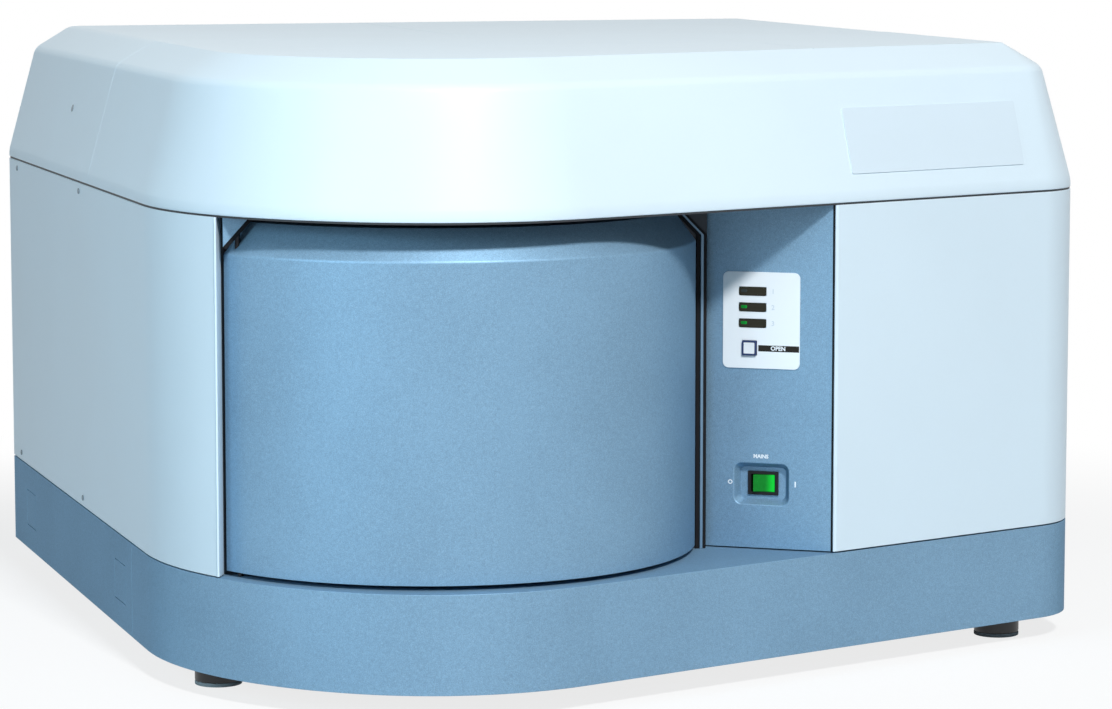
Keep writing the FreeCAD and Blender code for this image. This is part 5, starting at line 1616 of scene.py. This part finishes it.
@dataclass
class Microscope:
    """Microscope in the sample chamber: stand, turret, objectives, stage and camera."""

    finishes: Finishes
    axis: tuple[float, float] = (-199.97, -215.0)
    turret_centre_y: float = -185.0
    turret_radius: float = 45.0
    turret_levels: tuple[float, float] = (387.7, 399.7)
    objective_radius: float = 11.5
    objective_pitch: float = 30.0
    objective_lengths: tuple[float, ...] = (50.0, 48.0, 44.0, 34.0)
    barrel_share: float = 0.62
    tip_share: float = 0.45
    band_colours: tuple[Colour, ...] = ((0.80, 0.82, 0.84), (0.02, 0.16, 0.55), (0.03, 0.38, 0.10),
                                        (0.75, 0.55, 0.03))
    knob_radius: float = 22.0
    knob_length: float = 18.0
    knob_starts: tuple[float, float] = (-295.3, -104.7)
    knob_place: tuple[float, float] = (-90.0, 193.0)
    holder_top: float = 321.6
    slide_half: tuple[float, float] = (38.6, 13.6)

    def build(self) -> None:
        """Model every part of the microscope."""
        for node, radius in {"microscope_stand": 1.4, "nosepiece": 0.7, "focus_carriage": 1.0,
                             "stage_y_plate": 0.8, "stage_x_plate": 0.8, "video_camera": 1.0,
                             "lamp_house": 1.2, "focus_knobs": 1.0}.items():
            soften(self.finishes, node, [Crease(radius, None, 50, 180, 2)])
        self.turret_grip()
        self.objectives()
        self.focus_grips()
        self.slide_and_holder()
        self.slide_clips()
        self.scales()
        self.camera_rings()
        self.lamp_fins()

    def turret_grip(self) -> None:
        """Knurled ring round the turret."""
        sides = 120
        low, high = self.turret_levels
        grip = Bench.hoop("turret_grip", self.turret_radius + 0.3, self.turret_radius - 1.0, low + 2.5,
                          high - 2.5, sides)
        Bench.knurl(grip, low, high, sides, 0.5)
        Bench.close(grip)
        grip.data.transform(Facing.UP.at(self.axis[0], self.turret_centre_y, 0.0))
        seat(grip, self.finishes["knurled_steel"], "objective_turret")

    def _objective(self, name: str, length: float) -> bpy.types.Object:
        """One objective, its front lens upwards and its shoulder at the origin.

        Args:
            name: the object's name.
            length: from shoulder to tip.

        Returns:
            The barrel.
        """
        sides = 48
        radius = self.objective_radius
        tip = radius * self.tip_share
        barrel = length * self.barrel_share
        profile = [
            (radius - 2.0, 0.0), (radius - 2.0, 2.4), (radius - 0.4, 2.4), (radius, 2.8),
            (radius, 4.0), (radius, barrel * 0.34), (radius - 0.5, barrel * 0.34 + 0.4),
            (radius - 0.5, barrel * 0.42), (radius, barrel * 0.42 + 0.4), (radius, barrel - 2.0),
            (radius - 0.5, barrel), (tip + 1.6, length - 4.0), (tip + 1.2, length - 1.6),
            (tip, length - 0.2), (tip - 0.6, length), (tip - 1.6, length), (tip - 2.0, length - 0.9),
        ]
        made = Bench.turned(name, profile, sides)
        Bench.knurl(made, 4.0, barrel * 0.34, sides, 0.25)
        return Bench.close(made)

    def objectives(self) -> None:
        """Four objectives of different lengths, their colour rings and front lenses."""
        barrels, lenses = [], []
        shoulder = self.turret_levels[0]
        for index, length in enumerate(self.objective_lengths):
            angle = math.radians(270 + 90 * index)
            x = self.axis[0] + self.objective_pitch * math.cos(angle)
            y = self.turret_centre_y + self.objective_pitch * math.sin(angle)
            place = Facing.DOWN.at(x, y, shoulder)
            barrels.append(self._objective(f"objective_{index + 1}", length))
            barrels[-1].data.transform(place)
            dome = [(3.0, length - 1.2), (3.0, length - 0.9), (2.2, length - 0.6), (1.0, length - 0.45)]
            lens = Bench.turned(f"front_lens_{index + 1}", dome, 24)
            lenses.append(Bench.close(lens))
            lenses[-1].data.transform(place)
            level = length * self.barrel_share * 0.72
            band = Bench.hoop(f"magnification_ring_{index + 1}", self.objective_radius + 0.12,
                              self.objective_radius - 0.6, level, level + 2.2)
            Bench.close(band)
            band.data.transform(place)
            finish = Moulding(f"ring_enamel_{index + 1}", self.band_colours[index], 0.3, 0.0008, 0.00001)
            seat(band, finish.build(), "objective_turret")
        seat(Bench.join("objective_barrels", barrels), self.finishes["objective_metal"], "objective_turret",
             ["objectives"])
        seat(Bench.join("front_lenses", lenses), self.finishes["coated_glass"], "objective_turret")

    def focus_grips(self) -> None:
        """Knurled grip round each focus knob, and the disc on its end."""
        sides = 72
        y, z = self.knob_place
        grips, caps = [], []
        for facing, start in zip((Facing.LEFT, Facing.RIGHT), self.knob_starts):
            place = facing.at(start, y, z)
            grip = Bench.hoop(f"focus_grip_{facing.name.lower()}", self.knob_radius + 0.2,
                              self.knob_radius - 1.2, 3.0, self.knob_length - 3.0, sides)
            Bench.knurl(grip, 0.0, self.knob_length, sides, 0.45)
            grips.append(Bench.close(grip))
            grips[-1].data.transform(place)
            end = self.knob_length
            disc = [(13.0, end - 0.5), (13.0, end + 0.5), (12.4, end + 0.9), (8.0, end + 0.9),
                    (6.0, end + 0.4), (1.0, end + 0.3)]
            cap = Bench.turned(f"focus_cap_{facing.name.lower()}", disc)
            caps.append(Bench.close(cap))
            caps[-1].data.transform(place)
        for name, parts, finish in (("focus_grips", grips, "black_rubber"),
                                    ("focus_caps", caps, "anodised_clear")):
            seat(Bench.join(name, parts), self.finishes[finish], "focus_knob_shaft")

    def on_slide(self, centre: Vector, normal: Vector) -> bool:
        """Whether a face is on the slide that lies in the holder's pocket.

        Args:
            centre: its centre.
            normal: its normal.

        Returns:
            True for the slide's upper face.
        """
        x, y = centre.x / MM - self.axis[0], centre.y / MM - self.axis[1]
        within = abs(x) < self.slide_half[0] and abs(y) < self.slide_half[1]
        return within and normal.z > 0.9 and abs(centre.z / MM - self.holder_top) < 0.05

    def slide_and_holder(self) -> None:
        """Metal holder, glass slide with a frosted end, and a specimen under a cover glass."""
        edge = [Crease(0.5, None, 50, 180, 2)]
        x, y = self.axis
        soften(self.finishes, "sample_holder", edge,
               keep=lambda centre, normal: normal.z > 0.9 and not self.on_slide(centre, normal)
               and centre.z / MM > self.holder_top - 0.05, name="holder_plate")
        soften(self.finishes, "sample_holder", [Crease(0.2, None, 50, 180, 1)], "slide_glass",
               keep=self.on_slide, name="glass_slide")
        middle = (x - 28.0, y, self.holder_top + 0.05)
        label = Bench.soft_block("frosted_end", (19.0, 25.4, 0.1), middle, 0.04, 1)
        seat(label, self.finishes["white_film"], "stage_x")
        specimen = Bench.turned("specimen", [(7.0, 0.0), (6.6, 0.08), (4.0, 0.12)], 36)
        Bench.close(specimen)
        specimen.data.transform(Facing.UP.at(x, y, self.holder_top))
        seat(specimen, self.finishes["specimen_stain"], "stage_x")
        cover = Bench.soft_block("cover_glass", (22.0, 22.0, 0.17), (x, y, self.holder_top + 0.24), 0.05, 1)
        seat(cover, self.finishes["slide_glass"], "stage_x")

    def slide_clips(self) -> None:
        """Two sprung clips with thumb nuts that hold the slide down."""
        reach, width, thick = 30.0, 6.0, 0.7
        clip = Bench.block("clip", (reach * MM, width * MM, thick * MM), (0, 0, 0.0))
        bpy.ops.mesh.subdivide(number_cuts=1)
        Bench.pick_faces(clip, lambda centre, normal: normal.x > 0.9)
        bpy.ops.mesh.extrude_region_move(TRANSFORM_OT_translate={"value": (3.5 * MM, 0, 1.6 * MM)})
        Bench.pick_edges(clip, lambda middle, along, angle: angle > 0.5)
        Bench.round_off(0.15 * MM, 1)
        Bench.close(clip)
        nut_sides = 36
        nut_profile = [(4.2, 0.3), (4.2, 3.6), (3.8, 4.0), (2.0, 4.0), (1.8, 3.4)]
        nut = Bench.turned("thumb_nut", nut_profile, nut_sides)
        Bench.knurl(nut, 0.5, 3.5, nut_sides, 0.25)
        Bench.close(nut)
        nut.data.transform(Matrix.Translation(Vector((-11.0, 0, 0)) * MM))
        both = Bench.join("clip_and_nut", [clip, nut])
        x, y = self.axis
        lift = self.holder_top + thick / 2 + 0.05
        turn = Matrix.Rotation(math.radians(-90), 4, "Z")
        places = [Facing.UP.at(x + side, y + 20.0, lift) @ turn for side in (-40.0, 40.0)]
        clips = Bench.repeat("slide_clips", both, places)
        seat(clips, self.finishes["chrome_parts"], "stage_x")

    def scales(self) -> None:
        """Engraved scales on the front of the upper plate and the side of the lower plate."""
        x, y = self.axis
        self._scale("stage_x_scale", Facing.FRONT.at(x, y - 60.0, 311.6), "stage_x", 120)
        self._scale("stage_y_scale", Facing.RIGHT.at(x + 80.0, y, 301.3), "stage_y", 90)

    def _scale(self, name: str, place: Matrix, body: str, length: int) -> None:
        """Metal strip with lines each 2 mm and numbers each 20 mm.

        Args:
            name: the strip's name.
            place: frame of its rear face.
            body: what it rides on.
            length: its length in millimetres.
        """
        strip = Bench.soft_block(name, (length + 8.0, 7.0, 0.5), (0, 0, 0.25), 0.12, 1)
        strip.data.transform(place)
        seat(strip, self.finishes["anodised_clear"], body)
        line = Bench.soft_block("line", (0.25, 1.0, 0.06), (0, 0, 0), 0.02, 1)
        places = []
        for step in range(length // 2 + 1):
            tall = 2.8 if step % 10 == 0 else 2.0 if step % 5 == 0 else 1.3
            at = Matrix.Translation(Vector((2 * step - length / 2, 3.1 - tall / 2, 0.52)) * MM)
            places.append(place @ at @ Matrix.Diagonal((1.0, tall, 1.0, 1.0)))
        marks = [Bench.repeat(f"{name}_lines", line, places)]
        for value in range(0, length + 1, 20):
            at = Matrix.Translation(Vector((value - length / 2, -1.7, 0.54)) * MM)
            marks.append(Bench.lettering(f"{name}_{value}", str(value), 1.9 * MM, place @ at, 0.02))
        seat(Bench.join(f"{name}_marks", marks), self.finishes["black_plastic"], body)

    def camera_rings(self) -> None:
        """Clamp rings on the viewing camera's tube and a socket on its back."""
        x, y = self.axis
        rings = []
        sides = 60
        for index, (low, high) in enumerate(((444.0, 450.0), (494.0, 503.0))):
            ring = Bench.hoop(f"clamp_ring_{index}", 17.5, 14.0, low, high, sides)
            Bench.knurl(ring, low, high, sides, 0.4)
            rings.append(Bench.close(ring))
            rings[-1].data.transform(Facing.UP.at(x, y, 0.0))
        seat(Bench.join("camera_clamp_rings", rings), self.finishes["anodised_black"])
        profile = [(6.5, -0.5), (6.5, 4.0), (5.9, 4.6), (4.6, 4.6), (4.6, 1.0)]
        socket = Bench.turned("camera_socket", profile, 36)
        Bench.close(socket)
        socket.data.transform(Facing.BACK.at(x, y + 28.0, 529.0))
        seat(socket, self.finishes["knurled_steel"])

    def lamp_fins(self) -> None:
        """Cooling fins on both sides and the top of the lamp house."""
        low, high = (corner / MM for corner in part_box("lamp_house"))
        front = high.y - 90.0
        count, pitch, proud = 8, 9.0, 2.5
        width = high.x - low.x + 2 * proud
        height = high.z - low.z + proud
        fin = Bench.soft_block("fin", (width, 2.2, height),
                               ((low.x + high.x) / 2, front + 10.0, low.z + height / 2), 0.4)
        places = [Matrix.Translation(Vector((0, pitch * index, 0)) * MM) for index in range(count)]
        seat(Bench.repeat("lamp_fins", fin, places), self.finishes["lamp_black"])


# Optics


@dataclass
class Optics:
    """Small parts of the lasers, the beam's mirrors, the filter wheel and the spectrograph."""

    finishes: Finishes
    beam_level: float = 244.0
    mounts: tuple[tuple[float, float, float], ...] = ((-375.0, 40.0, 45.0), (-270.0, 40.0, -45.0),
                                                      (-120.0, 40.0, 45.0), (-120.0, 200.0, -45.0),
                                                      (-20.0, 150.0, 45.0))
    plate_half: float = 5.0
    wheel_centre: Place = (-120.0, 118.0, 217.0)
    filter_pitch: float = 27.0
    filter_radius: float = 8.9
    filter_tints: tuple[Colour, ...] = ((0.95, 0.55, 0.45), (0.95, 0.80, 0.40), (0.55, 0.90, 0.55),
                                        (0.45, 0.75, 0.95), (0.60, 0.55, 0.95), (0.85, 0.86, 0.88))
    turret_centre: tuple[float, float] = (245.0, 150.0)
    grating_reach: float = 36.0
    grating_levels: tuple[float, float] = (189.3, 257.3)

    def build(self) -> None:
        """Model every small part."""
        self.mirrors_and_adjusters()
        self.filters()
        self.gratings()
        self.slit_screw()
        self.laser_ends()

    def mirrors_and_adjusters(self) -> None:
        """Round mirror on the front of each mount and two knurled screws behind it."""
        mirror = Bench.turned("beam_mirror", [(12.7, -0.2), (12.7, 1.4), (12.3, 1.8), (1.0, 1.8)], 48)
        Bench.close(mirror)
        sides = 36
        profile = [(2.5, -0.2), (2.5, 3.0), (4.6, 3.0), (4.6, 9.0), (4.2, 9.6), (1.0, 9.6)]
        screw = Bench.turned("adjuster", profile, sides)
        Bench.knurl(screw, 3.2, 8.9, sides, 0.25)
        Bench.close(screw)
        fronts, backs = [], []
        for x, y, turn in self.mounts:
            here = Matrix.Translation(Vector((x, y, self.beam_level)) * MM)
            here = here @ Matrix.Rotation(math.radians(turn), 4, "Z")
            fronts.append(here @ Facing.BACK.at(0, self.plate_half, 0))
            backs += [here @ Facing.FRONT.at(side, -self.plate_half, side) for side in (-10.0, 10.0)]
        for name, part, places, finish in (("beam_mirrors", mirror, fronts, "mirror_glass"),
                                           ("mirror_adjusters", screw, backs, "knurled_steel")):
            seat(Bench.repeat(name, part, places), self.finishes[finish])

    def filters(self) -> None:
        """Six tinted glasses with retaining rings in the filter wheel."""
        x, y, z = self.wheel_centre
        ring = Bench.hoop("retainer", self.filter_radius + 0.3, self.filter_radius - 1.4, -4.3, -2.8, 36)
        Bench.close(ring)
        places = []
        for index, tint in enumerate(self.filter_tints):
            angle = math.radians(90 + 60 * index)
            across, up = self.filter_pitch * math.cos(angle), self.filter_pitch * math.sin(angle)
            place = Facing.BACK.at(x + across, y, z + up)
            places.append(place)
            profile = [(self.filter_radius - 0.3, -1.5), (self.filter_radius, -1.2),
                       (self.filter_radius, 1.2), (self.filter_radius - 0.3, 1.5)]
            glass = Bench.turned(f"filter_glass_{index + 1}", profile)
            Bench.close(glass)
            glass.data.transform(place)
            finish = ClearGlass(f"filter_tint_{index + 1}", tint)
            seat(glass, finish.build(), "filter_disc")
        seat(Bench.repeat("filter_retainers", ring, places), self.finishes["anodised_clear"], "filter_disc")

    def gratings(self) -> None:
        """Ruled face on each of the three gratings."""
        low, high = self.grating_levels
        middle = (low + high) / 2
        face = Bench.soft_block("ruled_face", (58.0, 58.0, 0.8), (0, 0, 0.4), 0.25)
        places = []
        for index in range(3):
            turn = Matrix.Rotation(math.radians(120 * index), 4, "Z")
            centre = Matrix.Translation(Vector((*self.turret_centre, middle)) * MM)
            places.append(centre @ turn @ Facing.BACK.at(0, self.grating_reach, 0))
        seat(Bench.repeat("ruled_faces", face, places), self.finishes["ruled_gold"], "grating_table")

    def slit_screw(self) -> None:
        """Micrometer that sets the slit, with a graduated thimble."""
        sides = 50
        profile = [(4.5, -0.3), (4.5, 9.0), (6.5, 9.0), (7.0, 11.0), (7.0, 20.0), (6.6, 20.6),
                   (3.0, 20.6), (2.6, 20.2)]
        thimble = Bench.turned("slit_micrometer", profile, sides)
        Bench.knurl(thimble, 12.0, 19.9, sides, 0.2)
        Bench.close(thimble)
        thimble.data.transform(Facing.UP.at(42.0, 150.0, 269.0))
        seat(thimble, self.finishes["knurled_steel"])

    def laser_ends(self) -> None:
        """End caps of the tube laser with their sockets."""
        caps = []
        for facing, y in ((Facing.FRONT, 110.0), (Facing.BACK, 430.0)):
            profile = [(24.0, -14.0), (24.6, -13.4), (24.6, 1.0), (23.8, 1.8), (9.0, 1.8), (8.0, 1.0),
                       (5.0, 1.0), (4.4, 0.4)]
            cap = Bench.turned(f"laser_cap_{facing.name.lower()}", profile)
            caps.append(Bench.close(cap))
            caps[-1].data.transform(facing.at(-270.0, y, self.beam_level))
        seat(Bench.join("laser_caps", caps), self.finishes["anodised_black"])


# Electronics


@dataclass
class Electronics:
    """Power supply and control board in the base."""

    finishes: Finishes
    board_corner: tuple[float, float] = (60.0, 120.0)
    board_top: float = 36.6
    chip: tuple[float, float, float] = (32.0, 28.0, 3.0)
    chip_pitch: float = 60.0
    chip_inset: float = 30.0
    pin_pitch: float = 4.0

    def build(self) -> None:
        """Model both."""
        edge = [Crease(0.6, None, 50, 180, 2)]
        soften(self.finishes, "base_electronics", edge, "zinc_sheet",
               keep=lambda centre, normal: centre.x < 0, name="power_supply")
        soften(self.finishes, "base_electronics", [Crease(0.3, None, 50, 180, 1)],
               keep=lambda centre, normal: centre.x > 0, name="control_board")
        self.chips()
        self.terminals()

    def chip_places(self) -> list[Vector]:
        """Middles of the chips' upper faces.

        Returns:
            The places in millimetres.
        """
        x0, y0 = (corner + self.chip_inset for corner in self.board_corner)
        width, depth, height = self.chip
        return [Vector((x0 + self.chip_pitch * column + width / 2, y0 + self.chip_pitch * row + depth / 2,
                        self.board_top + height)) for column in range(4) for row in range(2)]

    def chips(self) -> None:
        """Black bodies and tinned legs of the chips."""
        width, depth, height = self.chip
        body = Bench.soft_block("chip", (width + 0.3, depth + 0.3, height), (0, 0, 0.1 - height / 2), 0.35)
        spots = [Matrix.Translation(place * MM) for place in self.chip_places()]
        bodies = Bench.repeat("chips", body, spots)
        seat(bodies, self.finishes["black_plastic"])
        leg = Bench.soft_block("leg", (1.4, 2.0, 1.6), (0, 0, 0.8 - height), 0.3, 1)
        legs = []
        for spot in spots:
            for step in range(-3, 4):
                for side in (-1, 1):
                    place = Vector((step * self.pin_pitch, side * (depth / 2 + 1.0), 0))
                    legs.append(spot @ Matrix.Translation(place * MM))
        seat(Bench.repeat("chip_legs", leg, legs), self.finishes["knurled_steel"])

    def terminals(self) -> None:
        """Row of screw terminals along the board's rear edge, and the capacitor's sleeve."""
        block = Bench.soft_block("terminal", (8.0, 9.0, 11.0), (0, 0, 5.5), 0.6)
        places = [Matrix.Translation(Vector((196.0 + 8.4 * step, 306.0, self.board_top)) * MM)
                  for step in range(6)]
        seat(Bench.repeat("screw_terminals", block, places), self.finishes["terminal_green"])
        profile = [(10.2, 0.0), (10.2, 21.2), (9.6, 22.1), (8.4, 22.1), (8.0, 21.9)]
        sleeve = Bench.turned("capacitor_sleeve", profile)
        Bench.close(sleeve)
        sleeve.data.transform(Facing.UP.at(280.0, 280.0, self.board_top))
        seat(sleeve, self.finishes["camera_blue"])


# Studio


@dataclass
class Studio:
    """Camera, floor, world and lamps."""

    focal_pixels: float = 3963.03
    image_width: float = 1112.0
    sensor: float = 36.0
    camera_place: Place = (-1.33611, -4.13120, 0.80277)
    camera_yaw: float = 18.02
    camera_pitch: float = 6.77
    key_height: float = 42.0
    key_turn: float = -1.0
    key_distance: float = 8.0
    key_side: float = 0.74
    key_level: float = 0.91
    side_turn: float = -56.0
    side_height: float = 16.0
    side_distance: float = 3.2
    side_size: float = 1.0
    side_level: float = 0.29
    side_colour: Colour = (0.60, 0.86, 1.0)
    sky: Colour = (0.62, 0.87, 1.0)
    sky_level: float = 0.10
    floor_side: float = 40.0
    floor_colour: Colour = (0.46, 0.54, 0.60)
    floor_white: float = 0.8
    shadow_reach: float = 1.6

    def build(self) -> None:
        """Set up everything that isn't the object."""
        scene = bpy.context.scene
        scene.view_settings.view_transform = "Standard"
        self.camera()
        self.world()
        self.floor()
        self.lamps()

    def camera(self) -> None:
        """Camera at the photograph's viewing angle."""
        data = bpy.data.cameras.new("camera")
        data.sensor_fit = "HORIZONTAL"
        data.sensor_width = self.sensor
        data.lens = self.sensor * self.focal_pixels / self.image_width
        data.clip_end = 100.0
        camera = bpy.data.objects.new("camera", data)
        camera.location = self.camera_place
        camera.rotation_euler = (math.radians(90 - self.camera_pitch), 0, math.radians(-self.camera_yaw))
        bpy.context.scene.collection.objects.link(camera)
        bpy.context.scene.camera = camera

    @staticmethod
    def _seen(tree: bpy.types.NodeTree) -> bpy.types.NodeSocket:
        """1 for rays from the camera, from gloss and through glass.

        Args:
            tree: the node tree that it is added to.

        Returns:
            The output socket.
        """
        path = tree.nodes.new("ShaderNodeLightPath")
        total = path.outputs["Is Camera Ray"]
        for name in ("Is Glossy Ray", "Is Transmission Ray"):
            add = tree.nodes.new("ShaderNodeMath")
            add.operation = "MAXIMUM"
            tree.links.new(total, add.inputs[0])
            tree.links.new(path.outputs[name], add.inputs[1])
            total = add.outputs[0]
        return total

    def world(self) -> None:
        """Cool even sky light, seen as white."""
        world = bpy.data.worlds.new("studio")
        bpy.context.scene.world = world
        world.use_nodes = True
        tree = world.node_tree
        tree.nodes.clear()
        light = tree.nodes.new("ShaderNodeBackground")
        light.inputs["Color"].default_value = (*self.sky, 1.0)
        light.inputs["Strength"].default_value = self.sky_level
        white = tree.nodes.new("ShaderNodeBackground")
        white.inputs["Color"].default_value = (1.0, 1.0, 1.0, 1.0)
        mix = tree.nodes.new("ShaderNodeMixShader")
        tree.links.new(self._seen(tree), mix.inputs[0])
        tree.links.new(light.outputs[0], mix.inputs[1])
        tree.links.new(white.outputs[0], mix.inputs[2])
        output = tree.nodes.new("ShaderNodeOutputWorld")
        tree.links.new(mix.outputs[0], output.inputs["Surface"])

    def floor(self) -> None:
        """Plain pale floor that keeps a faint shadow."""
        Bench.clear()
        bpy.ops.mesh.primitive_plane_add(size=self.floor_side, location=(0, 0, 0))
        floor = bpy.context.object
        floor.name = "floor"
        shader = Shader("floor")
        tree = shader.tree
        diffuse = shader.node("ShaderNodeBsdfDiffuse", inputs={"Color": (*self.floor_colour, 1.0)})
        glow = shader.node("ShaderNodeEmission", inputs={"Color": (1, 1, 1, 1), "Strength": 1.0})
        pale = shader.node("ShaderNodeBsdfDiffuse", inputs={"Color": (0.9, 0.9, 0.9, 1.0)})
        distance = shader.node("ShaderNodeVectorMath", {"operation": "LENGTH"}, {0: shader.place()}, "Value")
        away = distance.eased(self.shadow_reach / 2, self.shadow_reach)
        white = shader.node("ShaderNodeMixShader",
                            inputs={0: self.floor_white + away * (1 - self.floor_white), 1: pale, 2: glow})
        seen = Signal(shader, self._seen(tree))
        floor.data.materials.append(shader.finish(
            shader.node("ShaderNodeMixShader", inputs={0: seen, 1: diffuse, 2: white})))
        Bench.clear()

    def lamps(self) -> None:
        """Soft key lamp high in front, and a weaker cool one to its left."""
        self._panel("key", self.key_turn, self.key_height, self.key_distance, self.key_side, self.key_level,
                    (1.0, 1.0, 1.0))
        self._panel("side", self.side_turn, self.side_height, self.side_distance, self.side_size,
                    self.side_level, self.side_colour)

    def _panel(self, name: str, turn: float, height: float, distance: float, side: float, level: float,
               colour: Colour) -> None:
        """Add one square area lamp that faces the object.

        Args:
            name: its name.
            turn: degrees to the right of straight in front.
            height: degrees above the horizon.
            distance: how far away it is.
            side: its width.
            level: light on a surface that faces it, where 1 shows a colour as written.
            colour: its colour.
        """
        azimuth, rise = math.radians(turn), math.radians(height)
        level_share = math.cos(rise)
        back = Vector((math.sin(azimuth) * level_share, -math.cos(azimuth) * level_share, math.sin(rise)))
        centre = (CAD_BOX[0] + CAD_BOX[1]) / 2
        data = bpy.data.lights.new(name, "AREA")
        data.shape = "SQUARE"
        data.size = side
        data.color = colour
        data.energy = level * math.pi ** 2 * distance ** 2
        lamp = bpy.data.objects.new(name, data)
        lamp.location = centre + back * distance
        lamp.rotation_euler = back.to_track_quat("Z", "Y").to_euler()
        bpy.context.scene.collection.objects.link(lamp)


def main() -> None:
    """Build the studio and every sub-assembly in order."""
    logging.basicConfig(level=logging.INFO, format="%(message)s")
    Studio().build()
    finishes = Finishes()
    finishes.dress_nodes()
    Covers(finishes).build()
    SoftParts(finishes).build()
    Door(finishes).build()
    ControlPanel(finishes).build()
    Screws(finishes).build()
    Microscope(finishes).build()
    Optics(finishes).build()
    Electronics(finishes).build()


if __name__ == "__main__":
    main()
